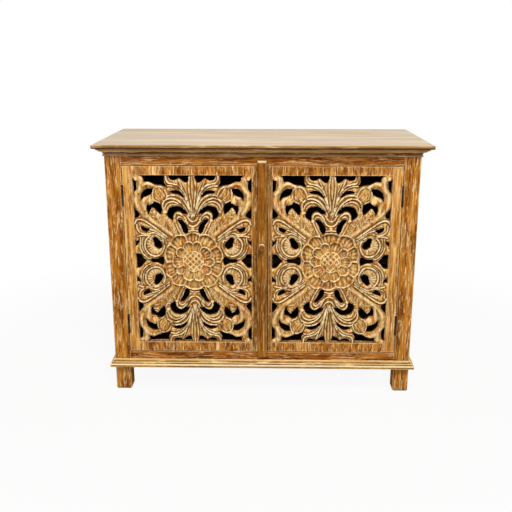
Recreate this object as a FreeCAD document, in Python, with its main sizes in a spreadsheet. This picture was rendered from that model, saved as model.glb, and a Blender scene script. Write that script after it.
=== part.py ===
import FreeCAD, Part
import math
import os
import re
import Sketcher
from FreeCAD import Vector

# A low two-door cabinet in stained wood: a framed carcass on four square legs, a thin
# overhanging top on a coved cornice, and two framed doors whose panels are pierced and carved
# with mirrored scrolls round a rosette. Millimetres. The front faces -Y, +X is the right hand
# of someone facing it, +Z is up, and the origin lies on the floor under the middle of the top.

os.makedirs("parts", exist_ok=True)
doc = FreeCAD.newDocument("CarvedCabinet")

SIZES = {
    # Overall box of the cabinet, set by its top board
    "overall_width": 1000,
    "overall_depth": 470,
    "overall_height": 790,
    "top_thickness": 12,
    "top_overhang": 32,
    "top_edge_radius": 5,
    # Framed carcass
    "post_size": 48,
    "leg_height": 82,
    "foot_chamfer": 4,
    "bottom_rail_height": 51,
    "top_rail_height": 51,
    "rail_thickness": 22,
    "tenon_length": 20,
    "tenon_thickness": 8,
    "tenon_shoulder": 5,
    "groove_depth": 7,
    "panel_play": 0.1,
    "side_panel_thickness": 10,
    "back_panel_thickness": 8,
    "bottom_board_thickness": 12,
    "bottom_board_drop": 14,
    "board_play": 0.3,
    "shelf_top": 432,
    "shelf_thickness": 18,
    "shelf_setback": 16,
    "cleat_width": 20,
    "cleat_height": 20,
    "stop_length": 160,
    "stop_thickness": 15,
    "stop_drop": 16,
    "stop_seat": 22,
    # Mouldings under the top and round the bottom of the carcass
    "cornice_height": 24,
    "cornice_projection": 21,
    "cornice_bead": 4.5,
    "cornice_bead_height": 4,
    "cornice_neck": 3,
    "cornice_cove": 8,
    "cornice_crown": 13,
    "cornice_crown_height": 10,
    "cornice_crown_step": 2.5,
    "cornice_lip_height": 4,
    "base_height": 25,
    "base_projection": 15,
    "base_lip_height": 9,
    "base_quirk": 2.5,
    "base_slope_height": 10,
    "base_top_ledge": 4,
    # Doors
    "door_thickness": 22,
    "door_gap": 2,
    "meeting_gap": 2.5,
    "hinge_stile_width": 30,
    "door_top_rail_height": 28,
    "door_bottom_rail_height": 30,
    "slim_tenon_length": 8,
    "tongue_thickness": 8,
    "tongue_length": 5.5,
    "door_groove_depth": 6,
    "panel_recess": 3,
    "panel_thickness": 16,
    "panel_edge_play": 0.2,
    # Strip that covers the meeting stile, and its knob
    "strip_width": 27,
    "strip_thickness": 10,
    "strip_overlap": 17,
    "strip_edge_chamfer": 2,
    "strip_relief": 0.4,
    "strip_margin": 3,
    "strip_reveal": 17.5,
    "knob_height": 482,
    "knob_radius": 10,
    "knob_neck_radius": 5.5,
    "knob_neck_length": 6,
    "knob_head_length": 12,
    # Butt hinges
    "hinge_length": 63,
    "hinge_inset": 58,
    "hinge_leaf_thickness": 1,
    "hinge_leaf_width": 20,
    "knuckle_radius": 3,
    "knuckle_gap": 0.3,
    "knuckle_room": 0.4,
    "pin_radius": 1.5,
    "pin_play": 0.05,
    # Rosette in the middle of each carved panel
    "rosette_radius": 88,
    "rosette_valley_radius": 72,
    "rosette_rise": 3,
    "petal_ring_radius": 62,
    "petal_valley_radius": 47,
    "petal_rise": 3,
    "boss_radius": 40,
    "boss_top_radius": 30,
    "boss_rise": 4,
    # Length of the straight cuts that follow a sawn opening's outline, and how much lower the
    # bottom half of the carving is laid out than a true mirror image of the top half
    "saw_step": 9,
    "lower_half_drop": 4,
}

sheet = doc.addObject("Spreadsheet::Sheet", "Sizes")
for row, (alias, number) in enumerate(SIZES.items(), 1):
    sheet.set(f"A{row}", alias)
    sheet.set(f"B{row}", str(number))
    sheet.setAlias(f"B{row}", alias)
doc.recompute()

# Places worked out from the sizes, as formulas for the bindings
FRONT = "(top_overhang - overall_depth / 2)"
BACK = "(overall_depth / 2)"
SIDE = "(overall_width / 2 - top_overhang)"
POST_INNER = f"({SIDE} - post_size)"
POST_REAR = f"({FRONT} + post_size)"
REAR_POST_FRONT = f"({BACK} - post_size)"
TOP_UNDER = "(overall_height - top_thickness)"
TOP_RAIL_LOW = f"({TOP_UNDER} - top_rail_height)"
BOTTOM_RAIL_HIGH = "(leg_height + bottom_rail_height)"
RAIL_REAR = f"({FRONT} + rail_thickness)"
REAR_RAIL_FRONT = f"({BACK} - rail_thickness)"
SIDE_RAIL_INNER = f"({SIDE} - rail_thickness)"
SIDE_MIDDLE = f"({SIDE} - rail_thickness / 2)"
FRONT_MIDDLE = f"({FRONT} + rail_thickness / 2)"
BACK_MIDDLE = f"({BACK} - rail_thickness / 2)"
DOOR_LOW = f"({BOTTOM_RAIL_HIGH} + door_gap)"
DOOR_HIGH = f"({TOP_RAIL_LOW} - door_gap)"
DOOR_REAR = f"({FRONT} + door_thickness)"
DOOR_OUTER = f"({POST_INNER} - door_gap)"
PANEL_OUTER = f"({DOOR_OUTER} - hinge_stile_width)"
PANEL_INNER = "(strip_width / 2 + strip_reveal)"
PANEL_LOW = f"({DOOR_LOW} + door_bottom_rail_height)"
PANEL_HIGH = f"({DOOR_HIGH} - door_top_rail_height)"
PANEL_FRONT = f"({FRONT} + panel_recess)"
TONGUE_MIDDLE = f"({FRONT} + door_thickness / 2)"
LEFT_LEAF_EDGE = "(strip_width / 2 + strip_margin)"
RIGHT_LEAF_EDGE = f"({LEFT_LEAF_EDGE} + meeting_gap)"
HINGE_AXIS = f"({POST_INNER} - door_gap / 2)"
STRIP_FRONT = f"({FRONT} - strip_thickness)"
CLEAT_TOP = "(shelf_top - shelf_thickness)"

sides = {"left": -1, "right": 1}
nodes = []


def bind(item, prop, formula):
    """Tie a property to a formula written in the names of the sheet."""
    item.setExpression(prop, re.sub(r"[a-z][a-z_]+", r"Sizes.\g<0>", formula))


def node(item):
    """List an object as one of the separate pieces that are written out."""
    nodes.append(item)
    return item


def span(middle, width):
    """The two ends of a width centred on a place."""
    return f"({middle} - {width} / 2)", f"({middle} + {width} / 2)"


def across(side, inner, outer):
    """A range of X given by its distances from the middle, on one side of the cabinet."""
    if side > 0:
        return inner, outer
    return f"-({outer})", f"-({inner})"


def block(name, x, y, z):
    """A block between pairs of formulas along X, Y and Z."""
    item = doc.addObject("Part::Box", name)
    for prop, axis, (low, high) in zip(("Length", "Width", "Height"), "xyz", (x, y, z)):
        bind(item, prop, f"{high} - ({low})")
        bind(item, f"Placement.Base.{axis}", low)
    return item


def rod(name, radius, x, y, z):
    """An upright cylinder at X, Y between two heights."""
    item = doc.addObject("Part::Cylinder", name)
    bind(item, "Radius", radius)
    bind(item, "Height", f"{z[1]} - ({z[0]})")
    for axis, place in zip("xyz", (x, y, z[0])):
        bind(item, f"Placement.Base.{axis}", place)
    return item


def fuse(name, pieces):
    item = doc.addObject("Part::MultiFuse", name)
    item.Shapes = pieces
    item.Refine = True
    return item


def cut(name, base, tools):
    item = doc.addObject("Part::Cut", name)
    item.Base = base
    item.Tool = tools[0] if len(tools) == 1 else fuse(f"{name}_cuts", tools)
    item.Refine = True
    return item


def plane(body, role):
    return next(p for p in body.Origin.OriginFeatures if p.Role == role)


def outline(body, name, role, corners):
    """A closed polygon sketch whose corners are pairs of formulas in the sketch's plane."""
    sketch = body.newObject("Sketcher::SketchObject", name)
    sketch.AttachmentSupport = [(plane(body, role), "")]
    sketch.MapMode = "FlatFace"
    count = len(corners)
    ring = [Vector(100 * (i % 2), 10 * i, 0) for i in range(count)]
    for i in range(count):
        sketch.addGeometry(Part.LineSegment(ring[i], ring[(i + 1) % count]))
    for i in range(count):
        sketch.addConstraint(Sketcher.Constraint("Coincident", i, 2, (i + 1) % count, 1))
    for i, corner in enumerate(corners):
        for kind, formula in zip(("DistanceX", "DistanceY"), corner):
            index = sketch.addConstraint(Sketcher.Constraint(kind, -1, 1, i, 1, 1.0))
            bind(sketch, f"Constraints[{index}]", formula)
    return sketch


def pad(body, sketch, length, centred=False):
    item = body.newObject("PartDesign::Pad", f"{sketch.Name}_pad")
    item.Profile = sketch
    bind(item, "Length", length)
    item.Midplane = centred
    body.Tip = item
    doc.recompute()
    return item


def round_edges(body, base, radius, chosen, name):
    """Round the edges whose middle point passes the test."""
    edges = []
    for i, edge in enumerate(base.Shape.Edges, 1):
        first, last = edge.ParameterRange
        if chosen(edge.valueAt((first + last) / 2), edge):
            edges.append(f"Edge{i}")
    item = body.newObject("PartDesign::Fillet", name)
    item.Base = (base, edges)
    bind(item, "Radius", radius)
    body.Tip = item
    doc.recompute()
    return item


def make_top_board():
    """The thin top: a board with its front and side edges rounded over, square at the back."""
    body = doc.addObject("PartDesign::Body", "top_board")
    half_x = "overall_width / 2"
    half_y = "overall_depth / 2"
    corners = [(f"-{half_x}", f"-{half_y}"), (half_x, f"-{half_y}"), (half_x, half_y), (f"-{half_x}", half_y)]
    board = pad(body, outline(body, "top_board_plan", "XY_Plane", corners), "top_thickness")
    back = sheet.get("overall_depth") / 2

    def front_or_side(middle, edge):
        level = abs(edge.Vertexes[0].Z - edge.Vertexes[1].Z) < 0.01
        return level and middle.y < back - 1

    round_edges(body, board, "top_edge_radius", front_or_side, "top_board_rounding")
    bind(body, "Placement.Base.z", TOP_UNDER)
    node(body)


def moulding(name, corners, place, drop, cove=None):
    """One mitred length of moulding. Its corners are (projection, height) formulas, and place is
    "front", "left" or "right". The front length is mitred at both ends, the side ones at the
    front, and they end square at the back."""
    body = doc.addObject("PartDesign::Body", name)
    reach = f"{SIDE} + {drop}"
    if place == "front":
        points = [(f"{FRONT} - ({out})", up) for out, up in corners]
        bar = pad(body, outline(body, f"{name}_section", "YZ_Plane", points), f"2 * ({reach})", True)
    else:
        sign = "" if place == "right" else "-"
        points = [(f"{sign}({SIDE} + ({out}))", up) for out, up in corners]
        sketch = outline(body, f"{name}_section", "XZ_Plane", points)
        bar = pad(body, sketch, f"2 * ({BACK})", True)
    if cove:
        radius, out, up = cove
        step = sheet.get(out)
        low = sheet.get(up)

        def inner_corner(middle, edge):
            if place == "front":
                along = abs(edge.Vertexes[0].X - edge.Vertexes[1].X) > 1
                depth = front_face - middle.y
            else:
                along = abs(edge.Vertexes[0].Y - edge.Vertexes[1].Y) > 1
                depth = abs(middle.x) - side_face
            return along and abs(depth - step) < 0.01 and abs(top_under - low - middle.z) < 0.01

        bar = round_edges(body, bar, radius, inner_corner, f"{name}_cove")
    mitre(body, name, place, drop)
    node(body)


def mitre(body, name, place, drop):
    """Cut the front corners of a moulding at 45 degrees, through the post's corner."""
    ends = (-1, 1) if place == "front" else (sides[place],)
    for end in ends:
        sign = "-" if end < 0 else ""
        near = (f"{sign}({SIDE})", FRONT)
        far = (f"{sign}({SIDE} + {drop})", f"{FRONT} - {drop}")
        # The waste lies on the other length's side of the mitre line
        if place == "front":
            waste = [near, far, (f"{sign}({SIDE} + 2 * {drop})", FRONT)]
        else:
            waste = [near, far, (far[0], f"-({BACK})"), (f"{sign}({SIDE} - {drop})", f"-({BACK})"),
                     (f"{sign}({SIDE} - {drop})", FRONT)]
        sketch = outline(body, f"{name}_mitre_{'left' if end < 0 else 'right'}", "XY_Plane", waste)
        item = body.newObject("PartDesign::Pocket", f"{sketch.Name}_cut")
        item.Profile = sketch
        item.Type = "ThroughAll"
        item.Reversed = True
        body.Tip = item
        doc.recompute()


def make_mouldings():
    """The coved cornice under the top and the bevelled moulding round the foot of the carcass."""
    low = f"({TOP_UNDER} - cornice_height)"
    bead = f"({low} + cornice_bead_height)"
    crown = f"({TOP_UNDER} - cornice_crown_height)"
    lip = f"({TOP_UNDER} - cornice_lip_height)"
    cornice = [("0", low), ("cornice_bead", low), ("cornice_bead", bead), ("cornice_neck", bead),
               ("cornice_neck", crown), ("cornice_crown", crown),
               ("cornice_crown", f"({crown} + cornice_crown_step)"), ("cornice_projection", lip),
               ("cornice_projection", TOP_UNDER), ("0", TOP_UNDER)]
    high = "(leg_height + base_height)"
    shoulder = f"({high} - base_slope_height)"
    base_lip = "(leg_height + base_lip_height)"
    inset = "(base_projection - base_quirk)"
    base = [("0", "leg_height"), ("base_projection", "leg_height"), ("base_projection", base_lip),
            (inset, f"({base_lip} + base_quirk)"), (inset, shoulder), ("base_top_ledge", high), ("0", high)]
    for place in ("front", "left", "right"):
        cove = ("cornice_cove", "cornice_neck", "cornice_crown_height")
        moulding(f"cornice_{place}", cornice, place, "cornice_projection", cove)
        moulding(f"base_moulding_{place}", base, place, "base_projection")


def rail_tenon(low, high, groove_low=False, groove_high=False, groove="groove_depth"):
    """The height of a rail's tenon, clear of the panel groove on either edge."""
    start = f"({low} + {groove} + 1)" if groove_low else f"({low} + tenon_shoulder)"
    end = f"({high} - {groove} - 1)" if groove_high else f"({high} - tenon_shoulder)"
    return start, end


TOP_TENON = rail_tenon(TOP_RAIL_LOW, TOP_UNDER, groove_low=True)
BOTTOM_TENON = rail_tenon("leg_height", BOTTOM_RAIL_HIGH, groove_high=True)
CARCASS_RAILS = {
    "top": (TOP_RAIL_LOW, TOP_UNDER, TOP_TENON),
    "bottom": ("leg_height", BOTTOM_RAIL_HIGH, BOTTOM_TENON),
}
HINGES = {
    "upper": (f"({DOOR_HIGH} - hinge_inset - hinge_length)", f"({DOOR_HIGH} - hinge_inset)"),
    "lower": (f"({DOOR_LOW} + hinge_inset)", f"({DOOR_LOW} + hinge_inset + hinge_length)"),
}


def hinge_cuts(name, side, plate_x):
    """The recess for a hinge leaf and the hollow round its knuckles, at both hinges."""
    cuts = []
    for level, (low, high) in HINGES.items():
        leaf_y = (FRONT, f"({FRONT} + hinge_leaf_width)")
        cuts.append(block(f"{name}_{level}_leaf_recess", plate_x, leaf_y, (low, high)))
        room = (f"({low} - knuckle_room)", f"({high} + knuckle_room)")
        axis_x = HINGE_AXIS if side > 0 else f"-{HINGE_AXIS}"
        hollow = "(knuckle_radius + knuckle_room)"
        cuts.append(rod(f"{name}_{level}_knuckle_hollow", hollow, axis_x, FRONT, room))
    return cuts


def make_posts():
    """Four square posts that run down as legs, mortised for the rails and grooved for the panels."""
    for hand, side in sides.items():
        side_panel_x = across(side, *span(SIDE_MIDDLE, "side_panel_thickness"))
        tenon_x = across(side, *span(SIDE_MIDDLE, "tenon_thickness"))
        inner_x = across(side, POST_INNER, f"({POST_INNER} + tenon_length)")
        panel_z = (f"({BOTTOM_RAIL_HIGH} - groove_depth)", f"({TOP_RAIL_LOW} + groove_depth)")
        for end in ("front", "rear"):
            name = f"{end}_{hand}_post"
            front = end == "front"
            post_y = (FRONT, POST_REAR) if front else (REAR_POST_FRONT, BACK)
            face = POST_REAR if front else REAR_POST_FRONT
            into = "-" if front else "+"
            deep = sorted_range(face, f"({face} {into} tenon_length)", front)
            groove_y = sorted_range(face, f"({face} {into} groove_depth)", front)
            rail_middle = FRONT_MIDDLE if front else BACK_MIDDLE
            blank = block(f"{name}_blank", across(side, POST_INNER, SIDE), post_y, ("0", TOP_UNDER))
            cuts = [block(f"{name}_panel_groove", side_panel_x, groove_y, panel_z)]
            for level, (low, high, tenon) in CARCASS_RAILS.items():
                cuts.append(block(f"{name}_{level}_side_mortise", tenon_x, deep, tenon))
                mortise_y = span(rail_middle, "tenon_thickness")
                cuts.append(block(f"{name}_{level}_mortise", inner_x, mortise_y, tenon))
            if front:
                plate_x = across(side, POST_INNER, f"({POST_INNER} + hinge_leaf_thickness)")
                cuts += hinge_cuts(name, side, plate_x)
            else:
                back_x = across(side, POST_INNER, f"({POST_INNER} + groove_depth)")
                back_y = span(BACK_MIDDLE, "back_panel_thickness")
                cuts.append(block(f"{name}_back_groove", back_x, back_y, panel_z))
            squared = cut(f"{name}_squared", blank, cuts)
            doc.recompute()
            foot = doc.addObject("Part::Chamfer", name)
            foot.Base = squared
            trim = sheet.get("foot_chamfer")
            rim = [i for i, e in enumerate(squared.Shape.Edges, 1)
                   if max(v.Z for v in e.Vertexes) < 0.01]
            foot.Edges = [(i, trim, trim) for i in rim]
            node(foot)


def sorted_range(first, second, swap):
    """A range written from its lower end."""
    return (second, first) if swap else (first, second)


def make_carcass_rails():
    """Rails tenoned into the posts at the top and bottom of all four sides."""
    board_z = (f"({BOTTOM_RAIL_HIGH} - bottom_board_drop - bottom_board_thickness)",
               f"({BOTTOM_RAIL_HIGH} - bottom_board_drop)")
    for level, (low, high, tenon) in CARCASS_RAILS.items():
        panel_edge = (low, f"({low} + groove_depth)")
        if level == "bottom":
            panel_edge = (f"({high} - groove_depth)", high)
        for end, rail_y in (("front", (FRONT, RAIL_REAR)), ("rear", (REAR_RAIL_FRONT, BACK))):
            name = f"{end}_{level}_rail"
            middle = FRONT_MIDDLE if end == "front" else BACK_MIDDLE
            rail_x = (f"-{POST_INNER}", POST_INNER)
            long_x = (f"-({POST_INNER} + tenon_length)", f"({POST_INNER} + tenon_length)")
            bar = fuse(f"{name}_bar", [
                block(f"{name}_face", rail_x, rail_y, (low, high)),
                block(f"{name}_tenons", long_x, span(middle, "tenon_thickness"), tenon)])
            cuts = []
            if end == "rear":
                back_y = span(BACK_MIDDLE, "back_panel_thickness")
                cuts.append(block(f"{name}_back_groove", rail_x, back_y, panel_edge))
            if level == "bottom":
                board_y = (f"({RAIL_REAR} - groove_depth)", RAIL_REAR)
                if end == "rear":
                    board_y = (REAR_RAIL_FRONT, f"({REAR_RAIL_FRONT} + groove_depth)")
                cuts.append(block(f"{name}_board_groove", rail_x, board_y, board_z))
            if cuts:
                node(cut(name, bar, cuts))
            else:
                bar.Label = name
                node(bar)
        for hand, side in sides.items():
            name = f"{hand}_{level}_rail"
            rail_x = across(side, SIDE_RAIL_INNER, SIDE)
            rail_y = (POST_REAR, REAR_POST_FRONT)
            long_y = (f"({POST_REAR} - tenon_length)", f"({REAR_POST_FRONT} + tenon_length)")
            bar = fuse(f"{name}_bar", [
                block(f"{name}_face", rail_x, rail_y, (low, high)),
                block(f"{name}_tenons", across(side, *span(SIDE_MIDDLE, "tenon_thickness")), long_y, tenon)])
            groove_x = across(side, *span(SIDE_MIDDLE, "side_panel_thickness"))
            cuts = [block(f"{name}_panel_groove", groove_x, rail_y, panel_edge)]
            if level == "bottom":
                board_x = across(side, SIDE_RAIL_INNER, f"({SIDE_RAIL_INNER} + groove_depth)")
                cuts.append(block(f"{name}_board_groove", board_x, rail_y, board_z))
            node(cut(name, bar, cuts))


def make_panels_and_boards():
    """Plain side and back panels in their grooves, the bottom board, the shelf and its cleats."""
    into = "(groove_depth - panel_play)"
    panel_z = (f"({BOTTOM_RAIL_HIGH} - {into})", f"({TOP_RAIL_LOW} + {into})")
    panel_y = (f"({POST_REAR} - {into})", f"({REAR_POST_FRONT} + {into})")
    back_x = f"({POST_INNER} + {into})"
    panel_face = span(SIDE_MIDDLE, "side_panel_thickness")[0]
    for hand, side in sides.items():
        panel_x = across(side, *span(SIDE_MIDDLE, "side_panel_thickness"))
        node(block(f"{hand}_side_panel", panel_x, panel_y, panel_z))
        cleat_x = across(side, f"({panel_face} - cleat_width)", panel_face)
        cleat_z = (f"({CLEAT_TOP} - cleat_height)", CLEAT_TOP)
        node(block(f"shelf_cleat_{hand}", cleat_x, (POST_REAR, REAR_POST_FRONT), cleat_z))
    back_y = span(BACK_MIDDLE, "back_panel_thickness")
    node(block("back_panel", (f"-{back_x}", back_x), back_y, panel_z))

    board_x = f"({SIDE_RAIL_INNER} + {into})"
    board_y = (f"({RAIL_REAR} - {into})", f"({REAR_RAIL_FRONT} + {into})")
    board_top = f"({BOTTOM_RAIL_HIGH} - bottom_board_drop)"
    board_z = (f"({board_top} - bottom_board_thickness)", board_top)
    notched_board("bottom_board", board_x, board_y, board_z)
    shelf_x = f"({panel_face} - board_play)"
    shelf_y = (f"({DOOR_REAR} + shelf_setback)", f"({back_y[0]} - board_play)")
    notched_board("shelf", shelf_x, shelf_y, (CLEAT_TOP, "shelf_top"))


def notched_board(name, half_x, y, z):
    """A board that fills the carcass, notched round the four posts."""
    blank = block(f"{name}_blank", (f"-{half_x}", half_x), y, z)
    notches = []
    for hand, side in sides.items():
        notch_x = across(side, f"({POST_INNER} - board_play)", SIDE)
        front_y = (FRONT, f"({POST_REAR} + board_play)")
        rear_y = (f"({REAR_POST_FRONT} - board_play)", BACK)
        notches.append(block(f"{name}_{hand}_front_notch", notch_x, front_y, z))
        notches.append(block(f"{name}_{hand}_rear_notch", notch_x, rear_y, z))
    node(cut(name, blank, notches))


def make_door_stop():
    """A block behind the top rail that both doors close against."""
    reach = "(stop_length / 2)"
    x = (f"-{reach}", reach)
    low = f"({TOP_RAIL_LOW} - stop_drop)"
    body = block("door_stop_blank", x, (RAIL_REAR, f"({RAIL_REAR} + stop_thickness)"),
                 (low, f"({TOP_RAIL_LOW} + stop_seat)"))
    relief = block("door_stop_relief", x, (RAIL_REAR, f"({DOOR_REAR} + board_play)"), (low, TOP_RAIL_LOW))
    node(cut("door_stop", body, [relief]))


def make_door(hand):
    """One framed leaf: stiles and rails mortised together round the groove for the carved panel."""
    side = sides[hand]
    door = f"{hand}_door"
    leaf_edge = f"-{LEFT_LEAF_EDGE}" if hand == "left" else RIGHT_LEAF_EDGE
    inner_tenon = "tenon_length" if hand == "left" else "slim_tenon_length"
    thick = (FRONT, DOOR_REAR)
    groove_y = span(TONGUE_MIDDLE, "(tongue_thickness + 2 * panel_play)")
    tenon_y = span(TONGUE_MIDDLE, "tenon_thickness")
    tenons = {
        "top": rail_tenon(PANEL_HIGH, DOOR_HIGH, groove_low=True, groove="door_groove_depth"),
        "bottom": rail_tenon(DOOR_LOW, PANEL_LOW, groove_high=True, groove="door_groove_depth"),
    }
    groove_z = (f"({PANEL_LOW} - door_groove_depth)", f"({PANEL_HIGH} + door_groove_depth)")

    stiles = {
        "hinge": (PANEL_OUTER, DOOR_OUTER, PANEL_OUTER, "tenon_length", 1),
        "meeting": (leaf_edge, PANEL_INNER, PANEL_INNER, inner_tenon, -1),
    }
    for kind, (near, far, shoulder, tenon, outward) in stiles.items():
        name = f"{door}_{kind}_stile"
        blank = block(f"{name}_blank", across(side, near, far), thick, (DOOR_LOW, DOOR_HIGH))
        deep = f"({shoulder} + door_groove_depth)" if outward > 0 else f"({shoulder} - door_groove_depth)"
        reach = f"({shoulder} + {tenon})" if outward > 0 else f"({shoulder} - {tenon})"
        groove_x = across(side, *sorted_range(shoulder, deep, outward < 0))
        mortise_x = across(side, *sorted_range(shoulder, reach, outward < 0))
        cuts = [block(f"{name}_groove", groove_x, groove_y, groove_z)]
        for level, tenon_z in tenons.items():
            cuts.append(block(f"{name}_{level}_mortise", mortise_x, tenon_y, tenon_z))
        if kind == "hinge":
            plate_x = across(side, f"({DOOR_OUTER} - hinge_leaf_thickness)", DOOR_OUTER)
            cuts += hinge_cuts(name, side, plate_x)
        node(cut(name, blank, cuts))

    rails = {"top": (PANEL_HIGH, DOOR_HIGH), "bottom": (DOOR_LOW, PANEL_LOW)}
    for level, (low, high) in rails.items():
        name = f"{door}_{level}_rail"
        rail_x = across(side, PANEL_INNER, PANEL_OUTER)
        long_x = across(side, f"({PANEL_INNER} - {inner_tenon})", f"({PANEL_OUTER} + tenon_length)")
        bar = fuse(f"{name}_bar", [
            block(f"{name}_face", rail_x, thick, (low, high)),
            block(f"{name}_tenons", long_x, tenon_y, tenons[level])])
        groove = (low, f"({low} + door_groove_depth)")
        if level == "bottom":
            groove = (f"({high} - door_groove_depth)", high)
        node(cut(name, bar, [block(f"{name}_groove", rail_x, groove_y, groove)]))
    make_carved_panel(hand)


# Half the carved field as drawn, and one quarter of its piercing, as distances from the middle
# of the panel, across and up. A ring closes on itself; a bay opens onto the frame, and its ends
# run on under the frame's edge. The quarter is mirrored into the other three.
FIELD_WIDTH = 178.5
FIELD_HEIGHT = 264.5
RINGS = {
    "crescent": [(70, 214), (60, 219.5), (48, 220), (34, 213), (24, 201), (30, 199), (42, 207), (56, 209.5)],
    "under_arch": [(70, 165), (56, 171), (40, 171), (25, 162), (16.5, 149), (30, 148), (42, 156), (54, 152),
                   (60, 140), (60, 127), (78, 142)],
    "bean": [(46, 126), (38, 131), (29, 123), (17, 107), (16, 91), (24, 85.5), (31, 94), (37, 111)],
    "inside_stem": [(149, 215), (136, 225), (119, 223.5), (123, 209), (134, 202), (147, 197), (155, 188),
                    (155, 203)],
    "leaf_tip": [(137, 173), (127, 174.5), (112, 184), (97, 176.5), (93, 161), (96, 145), (108, 154.5),
                 (119.5, 166), (128, 156), (132.5, 145), (139, 159)],
    "leaf_eye": [(159, 107.5), (148, 105), (135, 98), (143, 89), (157, 96)],
    "volute_eye": [(125, 69), (116, 75), (107, 67), (99, 57), (97, 44), (107, 37), (120, 45), (122, 56)],
}
SIDE_BAYS = {
    "corner_slit": [(170, 219), (167, 236), (170.5, 251)],
    "stem_bay": [(172, 160), (161, 143.5), (170, 134)],
    "volute_notch": [(174, 63), (166, 63.5), (174, 49)],
}
SIDE_BAY_ENDS = {"corner_slit": (207, 254), "stem_bay": (173, 130), "volute_notch": (66, 42)}
TOP_BAYS = {
    "outer": [(145, 254), (144, 244), (130, 245.5), (112, 237), (94, 234.5), (77, 229), (84, 245)],
    "inner": [(67, 253), (50, 250), (39, 256.5), (28, 247), (17, 242.5), (10, 254)],
}
TOP_BAY_ENDS = {"outer": (147, 85), "inner": (72, 7)}
MIDDLE_BAY = [(171, 23), (163, 20), (155, 9.5), (147, 0), (155, -9.5), (163, -20), (171, -23)]
MIDDLE_BAY_END = 20
MIDDLE_RING = [(134, 0), (128, 6), (112, 7), (95, 14), (90.5, 0), (95, -14), (112, -7), (128, -6)]
UNDER_FRAME = 1.5
PROUD_OF_FACE = 20
LEAF_COUNT = 10
PETAL_COUNT = 8
LOBE_STEPS = 6


def make_carved_panel(hand):
    """A panel held by a tongue in the frame's grooves, with a raised rosette, pierced through."""
    side = sides[hand]
    name = f"{hand}_door_carved_panel"
    field_x = across(side, f"({PANEL_INNER} + panel_edge_play)", f"({PANEL_OUTER} - panel_edge_play)")
    field_z = (f"({PANEL_LOW} + panel_edge_play)", f"({PANEL_HIGH} - panel_edge_play)")
    field = block(f"{name}_field", field_x, (PANEL_FRONT, f"({PANEL_FRONT} + panel_thickness)"), field_z)
    tongue_x = across(side, f"({PANEL_INNER} - tongue_length)", f"({PANEL_OUTER} + tongue_length)")
    tongue_z = (f"({PANEL_LOW} - tongue_length)", f"({PANEL_HIGH} + tongue_length)")
    tongue = block(f"{name}_tongue", tongue_x, span(TONGUE_MIDDLE, "tongue_thickness"), tongue_z)
    doc.recompute()
    blank = fuse(f"{name}_blank", [field, tongue] + rosette(name, field))
    piercing = doc.addObject("Part::Feature", f"{name}_piercing")
    piercing.Shape = piercing_shape(field)
    piercing.Placement.Base = field.Placement.Base + Vector(field.Length.Value / 2, 0, field.Height.Value / 2)
    node(cut(name, blank, [piercing]))


def rosette(name, field):
    """Two scalloped tiers and a tapered boss, each standing on the one behind it."""
    middle = field.Placement.Base + Vector(field.Length.Value / 2, 0, field.Height.Value / 2)
    tiers = [
        ("leaves", LEAF_COUNT, "rosette_radius", "rosette_valley_radius", "rosette_rise"),
        ("petals", PETAL_COUNT, "petal_ring_radius", "petal_valley_radius", "(rosette_rise + petal_rise)"),
    ]
    pieces = []
    for kind, count, radius, valley, rise in tiers:
        ring = doc.addObject("Part::Feature", f"{name}_{kind}_outline")
        ring.Shape = Part.Face(scallops(count, sheet.get(radius), sheet.get(valley)))
        ring.Placement.Base = middle
        tier = doc.addObject("Part::Extrusion", f"{name}_{kind}")
        tier.Base = ring
        tier.DirMode = "Custom"
        tier.Dir = Vector(0, -1, 0)
        tier.Solid = True
        bind(tier, "LengthFwd", rise)
        bind(tier, "LengthRev", "panel_thickness / 2")
        pieces.append(tier)
    boss = doc.addObject("Part::Cone", f"{name}_boss")
    bind(boss, "Radius1", "boss_radius")
    bind(boss, "Radius2", "boss_top_radius")
    bind(boss, "Height", "boss_rise")
    boss.Placement = FreeCAD.Placement(middle, FreeCAD.Rotation(Vector(1, 0, 0), 90))
    bind(boss, "Placement.Base.y", f"{PANEL_FRONT} - rosette_rise - petal_rise")
    return pieces + [boss]


def scallops(count, radius, valley):
    """A ring of round lobes with sharp valleys between them."""
    points = []
    for i in range(count * LOBE_STEPS + 1):
        turn = 2 * math.pi * i / (count * LOBE_STEPS)
        reach = valley + (radius - valley) * abs(math.cos(count * turn / 2)) ** 0.6
        points.append(Vector(reach * math.sin(turn), 0, reach * math.cos(turn)))
    return Part.makePolygon(points)


def sawn_outline(points, closed):
    """The smooth curve through the points, followed in short straight cuts. An open curve is
    closed by a straight line, which lies under the frame."""
    curve = Part.BSplineCurve()
    curve.interpolate(Points=points, PeriodicFlag=closed)
    path = curve.toShape()
    steps = path.discretize(Number=max(9, round(path.Length / sheet.get("saw_step"))))
    if (steps[0] - steps[-1]).Length > 0.01:
        steps.append(steps[0])
    return Part.makePolygon(steps)


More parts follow.
